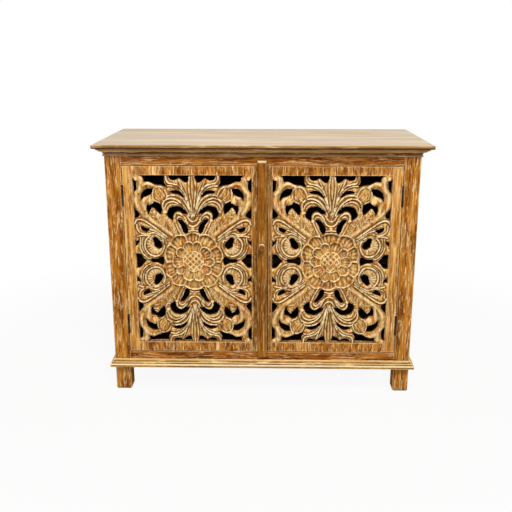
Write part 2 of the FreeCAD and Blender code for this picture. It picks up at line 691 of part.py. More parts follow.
def piercing_shape(field):
    """All the openings of one panel as prisms through its thickness, about the panel's middle."""
    half_width = field.Length.Value / 2
    half_height = field.Height.Value / 2
    side_edge = half_width + UNDER_FRAME
    top_edge = half_height + UNDER_FRAME
    start = -PROUD_OF_FACE
    depth = field.Width.Value + 2 * PROUD_OF_FACE
    drops = {1: 0, -1: sheet.get("lower_half_drop")}

    def place(point, flip_x, flip_z):
        x = point[0] * half_width / FIELD_WIDTH
        z = point[1] * half_height / FIELD_HEIGHT + drops[flip_z]
        return Vector(flip_x * x, start, flip_z * z)

    def at_edge(x, z, flip_x, flip_z):
        return Vector(flip_x * x, start, flip_z * z)

    wires = []
    for flip_x in (1, -1):
        for flip_z in (1, -1):
            for points in RINGS.values():
                wires.append(sawn_outline([place(p, flip_x, flip_z) for p in points], True))
            for kind, points in SIDE_BAYS.items():
                ends = [z * half_height / FIELD_HEIGHT + drops[flip_z] for z in SIDE_BAY_ENDS[kind]]
                curve = [place(p, flip_x, flip_z) for p in points]
                curve = [at_edge(side_edge, ends[0], flip_x, flip_z)] + curve
                wires.append(sawn_outline(curve + [at_edge(side_edge, ends[1], flip_x, flip_z)], False))
            for kind, points in TOP_BAYS.items():
                ends = [x * half_width / FIELD_WIDTH for x in TOP_BAY_ENDS[kind]]
                curve = [place(p, flip_x, flip_z) for p in points]
                curve = [at_edge(ends[0], top_edge, flip_x, flip_z)] + curve
                wires.append(sawn_outline(curve + [at_edge(ends[1], top_edge, flip_x, flip_z)], False))
        end = MIDDLE_BAY_END * half_height / FIELD_HEIGHT
        curve = [place(p, flip_x, 1) for p in MIDDLE_BAY]
        curve = [at_edge(side_edge, end, flip_x, 1)] + curve + [at_edge(side_edge, -end, flip_x, 1)]
        wires.append(sawn_outline(curve, False))
        wires.append(sawn_outline([place(p, flip_x, 1) for p in MIDDLE_RING], True))
    return Part.makeCompound([Part.Face(wire).extrude(Vector(0, depth, 0)) for wire in wires])


def make_strip_and_knob():
    """The strip on the left leaf that runs past the doors over both rails, and its turned knob."""
    half = "(strip_width / 2)"
    body = doc.addObject("PartDesign::Body", "meeting_strip")
    low = f"({DOOR_LOW} - strip_overlap)"
    high = f"({DOOR_HIGH} + strip_overlap)"
    back = f"({FRONT} - strip_relief)"
    section = [(STRIP_FRONT, low), (back, low), (back, DOOR_LOW), (FRONT, DOOR_LOW), (FRONT, DOOR_HIGH),
               (back, DOOR_HIGH), (back, high), (STRIP_FRONT, high)]
    bar = pad(body, outline(body, "meeting_strip_section", "YZ_Plane", section), f"2 * {half}", True)
    front = bar.Shape.BoundBox.YMin
    trim = body.newObject("PartDesign::Chamfer", "meeting_strip_arris")
    arrises = [i for i, e in enumerate(bar.Shape.Edges, 1) if e.CenterOfMass.y < front + 0.01]
    trim.Base = (bar, [f"Edge{i}" for i in arrises])
    bind(trim, "Size", "strip_edge_chamfer")
    body.Tip = trim
    node(body)

    knob = doc.addObject("PartDesign::Body", "knob")
    neck = "(0 - knob_neck_length)"
    tip = "(0 - knob_neck_length - knob_head_length)"
    profile = [("0", "0"), ("0", "knob_neck_radius"), (neck, "knob_neck_radius"), (neck, "knob_radius"),
               (tip, "knob_radius"), (tip, "0")]
    sketch = outline(knob, "knob_profile", "YZ_Plane", profile)
    turned = knob.newObject("PartDesign::Revolution", "knob_turning")
    turned.Profile = sketch
    turned.ReferenceAxis = (sketch, ["H_Axis"])
    turned.Angle = 360
    knob.Tip = turned
    bind(knob, "Placement.Base.y", STRIP_FRONT)
    bind(knob, "Placement.Base.z", "knob_height")
    node(knob)


def make_hinges():
    """Butt hinges: a leaf let into the post, with the pin riveted in its knuckles, and a leaf let
    into the door, whose knuckle turns on that pin."""
    for hand, side in sides.items():
        axis_x = HINGE_AXIS if side > 0 else f"-{HINGE_AXIS}"
        plates = {
            "post": across(side, POST_INNER, f"({POST_INNER} + hinge_leaf_thickness)"),
            "door": across(side, f"({DOOR_OUTER} - hinge_leaf_thickness)", DOOR_OUTER),
        }
        for level, (low, high) in HINGES.items():
            third = "hinge_length / 3"
            middle = (f"({low} + {third} + knuckle_gap / 2)", f"({high} - {third} - knuckle_gap / 2)")
            open_middle = (f"({low} + {third} - knuckle_gap / 2)", f"({high} - {third} + knuckle_gap / 2)")
            outer = [(low, open_middle[0]), (open_middle[1], high)]
            open_outer = [(low, middle[0]), (middle[1], high)]
            knuckles = {"post": outer, "door": [middle]}
            openings = {"post": [open_middle], "door": open_outer}
            for kind, plate_x in plates.items():
                name = f"{level}_{hand}_hinge_{kind}_leaf"
                plate = block(f"{name}_plate", plate_x, (FRONT, f"({FRONT} + hinge_leaf_width)"), (low, high))
                room = [rod(f"{name}_room_{i}", "(knuckle_radius + knuckle_room)", axis_x, FRONT, z)
                        for i, z in enumerate(openings[kind], 1)]
                trimmed = cut(f"{name}_trimmed", plate, room)
                barrels = [rod(f"{name}_knuckle_{i}", "knuckle_radius", axis_x, FRONT, z)
                           for i, z in enumerate(knuckles[kind], 1)]
                if kind == "post":
                    pin = rod(f"{name}_pin", "pin_radius", axis_x, FRONT, (low, high))
                    node(fuse(name, [trimmed, pin] + barrels))
                else:
                    bore = rod(f"{name}_bore", "(pin_radius + pin_play)", axis_x, FRONT, (low, high))
                    node(cut(name, fuse(f"{name}_whole", [trimmed] + barrels), [bore]))


front_face = sheet.get("top_overhang") - sheet.get("overall_depth") / 2
side_face = sheet.get("overall_width") / 2 - sheet.get("top_overhang")
top_under = sheet.get("overall_height") - sheet.get("top_thickness")

make_top_board()
make_mouldings()
make_posts()
make_carcass_rails()
make_panels_and_boards()
make_door_stop()
make_door("left")
make_door("right")
make_strip_and_knob()
make_hinges()
doc.recompute()

for item in doc.Objects:
    if "Invalid" in item.State or "Error" in item.State:
        raise RuntimeError(f"{item.Label} failed: {item.State}")
for item in nodes:
    if item.Shape.isNull() or not item.Shape.isValid() or len(item.Shape.Solids) != 1:
        raise RuntimeError(f"{item.Label} is not one valid solid")
    item.Shape.exportStep(f"parts/{item.Label}.step")
print(len(nodes), "pieces written")
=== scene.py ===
import math

import bpy
import numpy as np
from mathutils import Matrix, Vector


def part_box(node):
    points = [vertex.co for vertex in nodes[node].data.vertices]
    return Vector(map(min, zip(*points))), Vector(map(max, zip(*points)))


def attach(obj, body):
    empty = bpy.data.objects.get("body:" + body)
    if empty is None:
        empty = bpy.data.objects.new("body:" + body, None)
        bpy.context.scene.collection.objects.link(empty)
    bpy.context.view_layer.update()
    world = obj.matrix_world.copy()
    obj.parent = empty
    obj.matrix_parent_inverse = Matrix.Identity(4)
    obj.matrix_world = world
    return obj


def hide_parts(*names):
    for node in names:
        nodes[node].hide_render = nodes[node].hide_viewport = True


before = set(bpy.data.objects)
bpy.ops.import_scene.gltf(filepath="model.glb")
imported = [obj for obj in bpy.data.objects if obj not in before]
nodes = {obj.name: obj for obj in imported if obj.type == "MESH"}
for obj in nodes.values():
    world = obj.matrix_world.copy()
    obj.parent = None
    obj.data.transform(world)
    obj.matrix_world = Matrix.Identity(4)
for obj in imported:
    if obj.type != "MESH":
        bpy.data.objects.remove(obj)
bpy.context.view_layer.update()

MM = 0.001


# Nodes that the materials share

def colour(code):
    """Linear colour of an sRGB hex value."""
    parts = [int(code[i:i + 2], 16) / 255 for i in (1, 3, 5)]
    linear = [p / 12.92 if p <= 0.04045 else ((p + 0.055) / 1.055) ** 2.4 for p in parts]
    return (*linear, 1.0)


def add(tree, kind, sockets=None, out=0, **settings):
    """Adds a node with its settings, gives each named socket a value or a link, and returns the
    output that is asked for."""
    node = tree.nodes.new(kind)
    for name, value in settings.items():
        setattr(node, name, value)
    for socket, value in (sockets or {}).items():
        if isinstance(value, bpy.types.NodeSocket):
            tree.links.new(value, node.inputs[socket])
        else:
            node.inputs[socket].default_value = value
    return node.outputs[out] if node.outputs else None


def new_material(name):
    """An empty material, and its node tree."""
    material = bpy.data.materials.new(name)
    material.use_nodes = True
    material.node_tree.nodes.clear()
    return material, material.node_tree


# Places of a mix node's colour sockets, which have the same names as its other sockets
MIX_AMOUNT, MIX_UNDER, MIX_OVER, MIX_RESULT = 0, 6, 7, 2


def mixed(tree, amount, under, over):
    """One tint laid over another, by an amount from 0 to 1."""
    return add(tree, "ShaderNodeMix", {MIX_AMOUNT: amount, MIX_UNDER: under, MIX_OVER: over},
               out=MIX_RESULT, data_type="RGBA")


def product(tree, first, second):
    """Two values multiplied."""
    return add(tree, "ShaderNodeMath", {0: first, 1: second}, operation="MULTIPLY")


def soft_step(tree, value, begins, full, most=1.0):
    """Goes softly from 0, where a value begins to count, to the most it gives, where it is full."""
    return add(tree, "ShaderNodeMapRange", {
        "Value": value, "From Min": begins, "From Max": full, "To Max": most},
        interpolation_type="SMOOTHSTEP")


def upright_part(tree, vector):
    """The upright part of a place or of a direction."""
    return add(tree, "ShaderNodeSeparateXYZ", {"Vector": vector}, out="Z")


def noise_along(tree, place, axis, length, width, detail=4.0, roughness=0.5, distortion=0.0):
    """Noise in streaks along an axis, so long and so wide in millimetres."""
    scale = [1 / (width * MM)] * 3
    scale["XYZ".index(axis)] = 1 / (length * MM)
    scaled = add(tree, "ShaderNodeMapping", {"Vector": place, "Scale": scale})
    return add(tree, "ShaderNodeTexNoise", {
        "Vector": scaled, "Scale": 1.0, "Detail": detail, "Roughness": roughness, "Distortion": distortion})


# The furthest that a piece's pattern is shifted, in metres
BOARD_SHIFT = (7.0, 5.0, 3.0)


def own_place(tree):
    """A place on the wood that differs from piece to piece, so that no two are cut from one board."""
    where = add(tree, "ShaderNodeTexCoord", out="Object")
    which = add(tree, "ShaderNodeObjectInfo", out="Random")
    return add(tree, "ShaderNodeVectorMath", {0: which, 1: BOARD_SHIFT, 2: where}, operation="MULTIPLY_ADD")


def streaked(tree, place, axis, tint, layers):
    """Lays streaks of other tones over a tint. Each layer has its streaks' length and width in
    millimetres, where in the noise they begin and are full, their tone and their strength."""
    for length, width, begins, full, tone, strength in layers:
        noise = noise_along(tree, place, axis, length, width, roughness=0.6, distortion=0.4)
        tint = mixed(tree, soft_step(tree, noise, begins, full, strength), tint, colour(tone))
    return tint


RAY_SAMPLES = 6
# How dark the corners get, with dark wax and painted shade
CORNER_WAX_AND_SHADE = 0.85


def wax_and_painted_shade_in_corners(tree, tint, reach, begins, full, wax_and_shade_tone):
    """Lays dark wax and painted shade into corners within a reach in millimetres, from the openness where
    it begins to the one where it is full: the more closed in a corner is, the darker it is painted."""
    openness = add(tree, "ShaderNodeAmbientOcclusion", {"Distance": reach * MM}, out="AO",
                   samples=RAY_SAMPLES)
    corner = soft_step(tree, openness, begins, full, CORNER_WAX_AND_SHADE)
    return mixed(tree, corner, tint, colour(wax_and_shade_tone))


WORN_ARRIS = 5.5 * MM


def bared_arrises(tree, rubbing):
    """How bare the arrises are: where a rounded normal leaves the true one and hands have rubbed."""
    rounded = add(tree, "ShaderNodeBevel", {"Radius": WORN_ARRIS}, samples=RAY_SAMPLES)
    true = add(tree, "ShaderNodeNewGeometry", out="Normal")
    agree = add(tree, "ShaderNodeVectorMath", {0: rounded, 1: true}, out="Value", operation="DOT_PRODUCT")
    arris = soft_step(tree, agree, begins=0.985, full=0.82)
    worn = soft_step(tree, rubbing, begins=0.26, full=0.50, most=0.95)
    return product(tree, arris, worn)


def handled(tree, place, axis, tint, lime):
    """What years of hands and wax do, with painted shade: dark wax and painted shade in the corners, and lime
    in the pores and on the arrises where it has been rubbed. Returns the tint and the pores, which also make
    the bump."""
    # Dark wax and painted shade in the corners
    tint = wax_and_painted_shade_in_corners(tree, tint, reach=9, begins=0.80, full=0.35, wax_and_shade_tone="#2e1603")
    rubbing = noise_along(tree, place, axis, length=110, width=30, detail=3.0)
    # Pores of this wood are about 0.3 mm wide: they are drawn in rows 3.5 mm wide so that they show
    pores = noise_along(tree, place, axis, length=60, width=3.5, roughness=0.65, distortion=0.3)
    open_pore = soft_step(tree, pores, begins=0.53, full=0.62)
    rubbed = soft_step(tree, rubbing, begins=0.44, full=0.60, most=0.85)
    tint = mixed(tree, product(tree, open_pore, rubbed), tint, colour(lime))
    tint = mixed(tree, bared_arrises(tree, rubbing), tint, colour(lime))
    return tint, pores


WOOD_IOR = 1.47
RELIEF_STRENGTH = 0.6


def wood_surface(material, tint, relief, depth=0.5, smooth=0.46, rough=0.68, sheen=0.1):
    """A wood surface with a low soft gloss, duller in its pores, which are so deep in millimetres."""
    tree = material.node_tree
    roughness = add(tree, "ShaderNodeMapRange", {"Value": relief, "To Min": smooth, "To Max": rough})
    bump = add(tree, "ShaderNodeBump", {
        "Height": relief, "Strength": RELIEF_STRENGTH, "Distance": depth * MM})
    surface = add(tree, "ShaderNodeBsdfPrincipled", {
        "Base Color": tint, "Roughness": roughness, "Normal": bump, "IOR": WOOD_IOR,
        "Specular IOR Level": sheen})
    add(tree, "ShaderNodeOutputMaterial", {"Surface": surface})
    return material


# Materials

def mango_streaks(tree, place, axis, deep, mid, warm, lime, length=1.0, flecks=0.7):
    """Golden and dark streaks along the grain, with short cream flecks where lime has caught."""
    return streaked(tree, place, axis, colour(mid), [
        (230 * length, 42, 0.44, 0.58, warm, 1.0),
        (160 * length, 14, 0.52, 0.40, deep, 0.85),
        (110 * length, 4.5, 0.49, 0.41, deep, 0.85),
        (70 * length, 12, 0.56, 0.66, warm, 0.9),
        (34, 3.5, 0.57, 0.65, lime, flecks),
    ])


def new_mango(name, axis, tones):
    """A new material with its node tree, its place on the wood and its streaks."""
    material, tree = new_material(name)
    place = own_place(tree)
    return material, tree, place, mango_streaks(tree, place, axis, **tones)


def stained_mango(name, axis, tones):
    """Mango wood, planed, stained brown and rubbed with lime wax: golden and dark streaks along the
    grain, cream flecks in the pores, pale arrises, and dark wax and painted shade in the corners."""
    material, tree, place, tint = new_mango(name, axis, tones)
    tint, pores = handled(tree, place, axis, tint, tones["lime"])
    return wood_surface(material, tint, pores)


def sawn_grain(tree, place, axis, mid, light):
    """The faint streaks of wood that is sawn and stained dark."""
    return streaked(tree, place, axis, colour(mid), [(200, 7, 0.40, 0.62, light, 1.0)])


def panel_mango(name, axis, tones):
    """Mango boards for the sides and back: stained and limed outside, and coloured near black on the face
    that looks into the cabinet, as painted shade."""
    material, tree, place, tint = new_mango(name, axis, tones)
    tint, pores = handled(tree, place, axis, tint, tones["lime"])
    # Painted shade: the face inside the cabinet is coloured near black
    dark = sawn_grain(tree, place, axis, "#241206", "#3e230f")
    spot = add(tree, "ShaderNodeTexCoord", out="Object")
    facing = add(tree, "ShaderNodeTexCoord", out="Normal")
    outward = add(tree, "ShaderNodeVectorMath", {0: spot, 1: facing}, out="Value", operation="DOT_PRODUCT")
    inside_painted_shade = add(tree, "ShaderNodeMapRange", {"Value": outward, "From Min": 0.0, "From Max": -0.01})
    tint = mixed(tree, inside_painted_shade, tint, dark)
    return wood_surface(material, tint, pores, smooth=0.50, rough=0.72)


PAINTED_PROFILE_SHARE = 0.7


def banded(tree, share, bands):
    """The tone of each share of a height."""
    profile = add(tree, "ShaderNodeValToRGB", {"Fac": share})
    ramp = profile.node.color_ramp
    while len(ramp.elements) < len(bands):
        ramp.elements.new(1.0)
    for element, (position, tone) in zip(ramp.elements, bands):
        element.position = position
        element.color = colour(tone)
    return profile


def moulded_mango(name, axis, node, bands, tones):
    """Mango wood, run with a moulding plane, stained and limed, with painted highlights and painted shade
    laid in bands across the profile: pale lines on its lit edges, dark lines in its quirks and under its
    lips. The bands give a share of the height and its tone."""
    material, tree, place, tint = new_mango(name, axis, tones)
    spot = add(tree, "ShaderNodeTexCoord", out="Object")
    box_low, box_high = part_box(node)
    share = add(tree, "ShaderNodeMapRange", {
        "Value": upright_part(tree, spot), "From Min": box_low.z, "From Max": box_high.z})
    # Painted highlights and painted shade in bands across the profile
    tint = mixed(tree, PAINTED_PROFILE_SHARE, tint, banded(tree, share, bands))
    tint, pores = handled(tree, place, axis, tint, tones["lime"])
    return wood_surface(material, tint, pores)


def rubbed_strip(name, node, tones):
    """The covering strip's mango wood, stained and rubbed by hands: its top end is worn to cream."""
    material, tree, place, tint = new_mango(name, "Z", tones)
    spot = add(tree, "ShaderNodeTexCoord", out="Object")
    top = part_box(node)[1].z
    worn = soft_step(tree, upright_part(tree, spot), begins=top - 8 * MM, full=top - 3 * MM, most=0.9)
    tint = mixed(tree, worn, tint, colour("#e8cf9c"))
    tint, pores = handled(tree, place, "Z", tint, tones["lime"])
    return wood_surface(material, tint, pores)


def turned_knob(name, tones):
    """The knob's mango wood, turned and stained, with a painted cream highlight on its upper side."""
    material, tree, place, tint = new_mango(name, "Y", tones)
    facing = add(tree, "ShaderNodeTexCoord", out="Normal")
    # Painted highlight: the faces that look up are painted cream
    worn = soft_step(tree, upright_part(tree, facing), begins=0.25, full=0.75)
    tint = mixed(tree, worn, tint, colour("#f6dfb2"))
    tint, pores = handled(tree, place, "Y", tint, tones["lime"])
    return wood_surface(material, tint, pores, depth=0.3, smooth=0.40, rough=0.60, sheen=0.3)


def limed_top(name):
    """Mango boards, planed and filled with lime wax: pale, with long soft streaks of grey and tan.
    The nosing is rubbed down to the stain, and its lower half is darkened with dark stain and painted shade."""
    material, tree = new_material(name)
    place = add(tree, "ShaderNodeTexCoord", out="Object")
    pale = streaked(tree, place, "X", colour("#cdb898"), [
        (500, 110, 0.40, 0.62, "#c6b09e", 1.0),
        (520, 40, 0.46, 0.64, "#e2d0aa", 0.9),
        (620, 18, 0.54, 0.32, "#ad947a", 0.8),
        (420, 10, 0.52, 0.70, "#e6d8c2", 0.8),
        (480, 4, 0.50, 0.38, "#a98d6c", 0.6),
        (300, 3, 0.54, 0.66, "#f0e4ce", 0.5),
    ])
    tan = streaked(tree, place, "X", colour("#9c7438"), [
        (160, 5, 0.52, 0.38, "#6f4716", 0.9),
        (70, 4, 0.54, 0.64, "#d9bf8c", 0.8),
    ])
    facing = add(tree, "ShaderNodeTexCoord", out="Normal")
    nosing = soft_step(tree, upright_part(tree, facing), begins=0.97, full=0.78)
    tint = mixed(tree, nosing, pale, tan)
    top_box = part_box("top_board")
    middle = (top_box[0].z + top_box[1].z) / 2
    # Dark stain and painted shade on the lower half of the nosing
    under = soft_step(tree, upright_part(tree, place), begins=middle + 1 * MM, full=middle - 3 * MM, most=0.9)
    tint = mixed(tree, under, tint, colour("#432608"))
    # The pores are drawn 2.2 mm wide, coarser than life, so that they show
    pores = noise_along(tree, place, "X", length=90, width=2.2, roughness=0.65)
    return wood_surface(material, tint, pores, depth=0.4, smooth=0.45, rough=0.65, sheen=0.2)


# How dark the hollows of the carving are made: dark stain and painted shade
HOLLOW_STAIN_AND_SHADE = 0.85


def carved_mango(name):
    """Mango wood, chiselled, stained and rubbed with lime wax: the crests are rubbed to cream in places,
    with a painted highlight on the rims of the upper leaves; the flanks are golden brown; the hollows keep
    dark stain with painted shade, and dark wax and painted shade lie in the corners."""
    material, tree = new_material(name)
    place = own_place(tree)
    tint = streaked(tree, place, "Z", colour("#d4963c"), [
        (75, 60, 0.44, 0.60, "#eab860", 0.9),
        (60, 42, 0.50, 0.62, "#c87218", 0.85),
        (60, 7, 0.49, 0.42, "#8c4e08", 0.8),
        (50, 7, 0.54, 0.61, "#f6cc82", 0.75),
        (26, 4.5, 0.47, 0.40, "#7a3e04", 0.75),
        (22, 4.5, 0.56, 0.62, "#ffe4ac", 0.7),
    ])
    # Dark stain and painted shade in the hollows
    hollow = add(tree, "ShaderNodeAttribute", out="Fac", attribute_name="hollow")
    tint = mixed(tree, product(tree, hollow, HOLLOW_STAIN_AND_SHADE), tint, colour("#69390a"))
    # Dark wax and painted shade in the corners
    tint = wax_and_painted_shade_in_corners(tree, tint, reach=12, begins=0.78, full=0.34, wax_and_shade_tone="#2e1502")
    hands = noise_along(tree, place, "Z", length=18, width=12, detail=3.0, roughness=0.6)
    reached = soft_step(tree, hands, begins=0.35, full=0.55)
    # Cream on the crests: wear, with a painted highlight on the upper leaves' rims
    rubbed = add(tree, "ShaderNodeAttribute", out="Fac", attribute_name="rubbed")
    tint = mixed(tree, product(tree, rubbed, reached), tint, colour("#ffe7b2"))
    return wood_surface(material, tint, hands, depth=0.4, smooth=0.52, rough=0.74, sheen=0.06)


def sawn_dark(name, axis, mid="#2a1709", light="#4a2c14"):
    """Mango wood, sawn and stained dark, unwaxed: dull brown with faint grain."""
    material, tree = new_material(name)
    place = own_place(tree)
    tint = sawn_grain(tree, place, axis, mid, light)
    marks = noise_along(tree, place, axis, length=60, width=2, detail=3.0)
    return wood_surface(material, tint, marks, smooth=0.65, rough=0.88, sheen=0.25)


def blackened_iron(name):
    """Rolled iron, blackened and oiled: dark, with dull bright wear."""
    material, tree = new_material(name)
    wear = noise_along(tree, own_place(tree), "Z", length=9, width=6, roughness=0.6)
    bare = soft_step(tree, wear, begins=0.40, full=0.68)
    tint = mixed(tree, bare, colour("#27221e"), colour("#5a5048"))
    roughness = add(tree, "ShaderNodeMapRange", {"Value": wear, "To Min": 0.38, "To Max": 0.62})
    bump = add(tree, "ShaderNodeBump", {"Height": wear, "Strength": 0.3, "Distance": 0.2 * MM})
    surface = add(tree, "ShaderNodeBsdfPrincipled", {
        "Base Color": tint, "Metallic": 1.0, "Roughness": roughness, "Normal": bump})
    add(tree, "ShaderNodeOutputMaterial", {"Surface": surface})
    return material


# Tones of the stained wood, from its dark streaks to the lime in its pores
CARCASS = dict(deep="#6a3400", mid="#aa6818", warm="#c48430", lime="#f4ca8e")
PANEL = dict(deep="#6a3402", mid="#9c5f18", warm="#b5792e", lime="#e2b47a", length=2.4, flecks=0.3)
RAIL = dict(deep="#562500", mid="#965414", warm="#b47026", lime="#eebc80")
CORNICE = dict(deep="#442000", mid="#8c5822", warm="#ac7a3e", lime="#f4cc94", flecks=1.0)
BASE = dict(deep="#522800", mid="#a06a26", warm="#c08a3e", lime="#ffd896", flecks=0.9)
STILE = dict(deep="#8d520c", mid="#c88a3c", warm="#dca659", lime="#f8d49c", flecks=0.5)
# The meeting stiles are darker: painted shade from the covering strip
MEETING_PAINTED_SHADE = dict(deep="#452200", mid="#80500f", warm="#986222", lime="#ecc084")
DOOR_RAIL = dict(deep="#6b3402", mid="#a66820", warm="#c08236", lime="#f8d094", length=0.3)
STRIP = dict(deep="#653203", mid="#88500f", warm="#9a621d", lime="#d8a85e", flecks=0.2)
# Shares of a moulding's height from its foot, with their tones: painted highlights on the lit edges, and
# painted shade in the quirks and under the nosing and lips
CORNICE_LIGHT_AND_SHADE_BANDS = [(0.04, "#a2682e"), (0.16, "#84501e"), (0.44, "#683c14"), (0.52, "#8c5a2a"),
                 (0.66, "#a67438"), (0.86, "#be9054"), (0.93, "#74481e"), (0.98, "#3c2006")]
BASE_LIGHT_AND_SHADE_BANDS = [(0.00, "#b68440"), (0.13, "#b68440"), (0.17, "#4c2c08"), (0.23, "#4c2c08"), (0.27, "#ffeabc"),
              (0.43, "#ffeabc"), (0.47, "#241202"), (0.60, "#241202"), (0.63, "#fbdca4"), (0.67, "#fbdca4"),
              (0.70, "#6e4a18"), (0.84, "#9a6a24"), (0.95, "#e8c07c")]

post_wood = stained_mango("mango_stained_limed_upright", "Z", CARCASS)
panel_wood = panel_mango("mango_stained_limed_panel", "Z", PANEL)
rail_wood = stained_mango("mango_stained_limed_lengthwise", "X", RAIL)
side_wood = stained_mango("mango_stained_limed_deep", "Y", RAIL)
cornice_wood, base_wood = {}, {}
for along in "XY":
    cornice_wood[along] = moulded_mango(
        f"mango_cornice_limed_{along}", along, "cornice_front", CORNICE_LIGHT_AND_SHADE_BANDS, CORNICE)
    base_wood[along] = moulded_mango(
        f"mango_base_limed_{along}", along, "base_moulding_front", BASE_LIGHT_AND_SHADE_BANDS, BASE)
stile_wood = stained_mango("mango_pale_limed_stile", "Z", STILE)
door_rail_wood = stained_mango("mango_limed_door_rail", "Z", DOOR_RAIL)
meeting_wood = stained_mango("mango_dark_limed_stile", "Z", MEETING_PAINTED_SHADE)
strip_wood = rubbed_strip("mango_dark_rubbed_strip", "meeting_strip", STRIP)
knob_wood = turned_knob("mango_turned_knob_painted_highlight", STRIP)
top_wood = limed_top("mango_limed_waxed_top")
carved_wood = carved_mango("mango_carved_limed")
# The walls of the piercing are coloured near black: dark stain and painted shade
cut_wood = sawn_dark("mango_fretsawn_dark", "Z", "#2c1706", "#4a2a0e")
back_wood = sawn_dark("mango_sawn_panel_back", "Z", "#6e4216", "#8a5a26")
inner_wood = sawn_dark("mango_dark_stained_lengthwise", "X")
cleat_wood = sawn_dark("mango_dark_stained_deep", "Y")
iron = blackened_iron("blackened_iron")


# The solids, with their finishes and eased arrises

def material_of(node):
    """The finish of a CAD node, with the grain along the piece."""
    if node == "top_board":
        return top_wood
    if "hinge_post_leaf" in node or "hinge_door_leaf" in node:
        return iron
    if "cleat" in node:
        return cleat_wood
    if node in ("bottom_board", "shelf", "door_stop"):
        return inner_wood
    if node == "knob":
        return knob_wood
    if node == "meeting_strip":
        return strip_wood
    if node.endswith("meeting_stile"):
        return meeting_wood
    if "_door_" in node:
        return door_rail_wood if node.endswith("rail") else stile_wood
    if node.startswith(("cornice", "base")):
        along = "X" if node.endswith("front") else "Y"
        return (cornice_wood if node.startswith("cornice") else base_wood)[along]
    if node.endswith("panel"):
        return panel_wood
    if node.endswith("post"):
        return post_wood
    if node.startswith(("front", "rear")):
        return rail_wood
    return side_wood


EASED = 0.8 * MM
POST_EASED = 1.0 * MM
MOULDING_EASED = 0.5 * MM
SAME_CORNER = 0.01 * MM
FLAT_WITHIN = math.radians(0.5)
ARRIS_FROM = math.radians(40)


def ease_edges(piece, width, segments=2):
    """Rounds the arrises of a CAD node, which the maker has taken off with a plane."""
    weld = piece.modifiers.new("joined_faces", "WELD")
    weld.merge_threshold = SAME_CORNER
    flats = piece.modifiers.new("whole_faces", "DECIMATE")
    flats.decimate_type = "DISSOLVE"
    flats.angle_limit = FLAT_WITHIN
    arris = piece.modifiers.new("eased_arrises", "BEVEL")
    arris.width = width
    arris.segments = segments
    arris.limit_method = "ANGLE"
    arris.angle_limit = ARRIS_FROM
    arris.use_clamp_overlap = False


for node_name, piece in nodes.items():
    finish = material_of(node_name)
    piece.data.materials.clear()
    piece.data.materials.append(finish)
    if node_name.startswith(("cornice", "base")):
        ease_edges(piece, MOULDING_EASED, 1)
    elif node_name.endswith("post"):
        ease_edges(piece, POST_EASED)
    elif finish is not iron and "carved_panel" not in node_name:
        ease_edges(piece, EASED)


# The carving, one quarter of the panel, in millimetres across and up from the middle of the panel

OPENINGS = [
    [(70, 214), (60, 219.5), (48, 220), (34, 213), (24, 201), (30, 199), (42, 207), (56, 209.5)],
    [(70, 165), (56, 171), (40, 171), (25, 162), (16.5, 149), (30, 148), (42, 156), (54, 152),
     (60, 140), (60, 127), (78, 142)],
    [(46, 126), (38, 131), (29, 123), (17, 107), (16, 91), (24, 85.5), (31, 94), (37, 111)],
    [(149, 215), (136, 225), (119, 223.5), (123, 209), (134, 202), (147, 197), (155, 188), (155, 203)],
    [(137, 173), (127, 174.5), (112, 184), (97, 176.5), (93, 161), (96, 145), (108, 154.5),
     (119.5, 166), (128, 156), (132.5, 145), (139, 159)],
    [(159, 107.5), (148, 105), (135, 98), (143, 89), (157, 96)],
    [(125, 69), (116, 75), (107, 67), (99, 57), (97, 44), (107, 37), (120, 45), (122, 56)],
]
# Openings that run out under the frame end at these places beyond its edges
BEYOND = 190
ABOVE = 277
SIDE_BAYS = [
    [(BEYOND, 207), (170, 219), (167, 236), (170.5, 251), (BEYOND, 254)],
    [(BEYOND, 173), (172, 160), (161, 143.5), (170, 134), (BEYOND, 130)],
    [(BEYOND, 66), (174, 63), (166, 63.5), (174, 49), (BEYOND, 42)],
]
TOP_BAYS = [
    [(162, ABOVE), (153, 267), (147.5, 257), (144.5, 246), (130, 245.5), (112, 237), (94, 234.5), (77, 229),
     (84, 245), (85, ABOVE)],
    [(72, ABOVE), (67, 253), (50, 250), (39, 256.5), (28, 247), (17, 242.5), (10, 254), (7, ABOVE)],
]
# The openings at mid height, which the two halves share
MIDDLE_OPENING = [(134, 0), (128, 6), (112, 7), (95, 14), (90.5, 0), (95, -14), (112, -7), (128, -6)]
MIDDLE_BAY = [(BEYOND, 20), (171, 23), (163, 20), (155, 9.5), (147, 0), (155, -9.5), (163, -20),
              (171, -23), (BEYOND, -20)]
# The lower half is the upper one mirrored, and set this much lower
LOWER_HALF_DROP = 4

# Height of a carved line, half width of its crest, depth of the hollows on both sides of it, and
# how far its crest is rubbed bare
CORD = (2.4, 2.1, 3.2, 1.0)
ARRIS = (1.9, 1.7, 2.8, 0.85)
VEIN = (1.0, 1.4, 1.6, 0.4)
BARB = (0.9, 1.5, 1.8, 0.5)
ROLL = (2.6, 5.5, 1.6, 0.35)
CROOK = (3.0, 7.0, 1.2, 0.4)
DEEPEST_LINE = CORD[2]

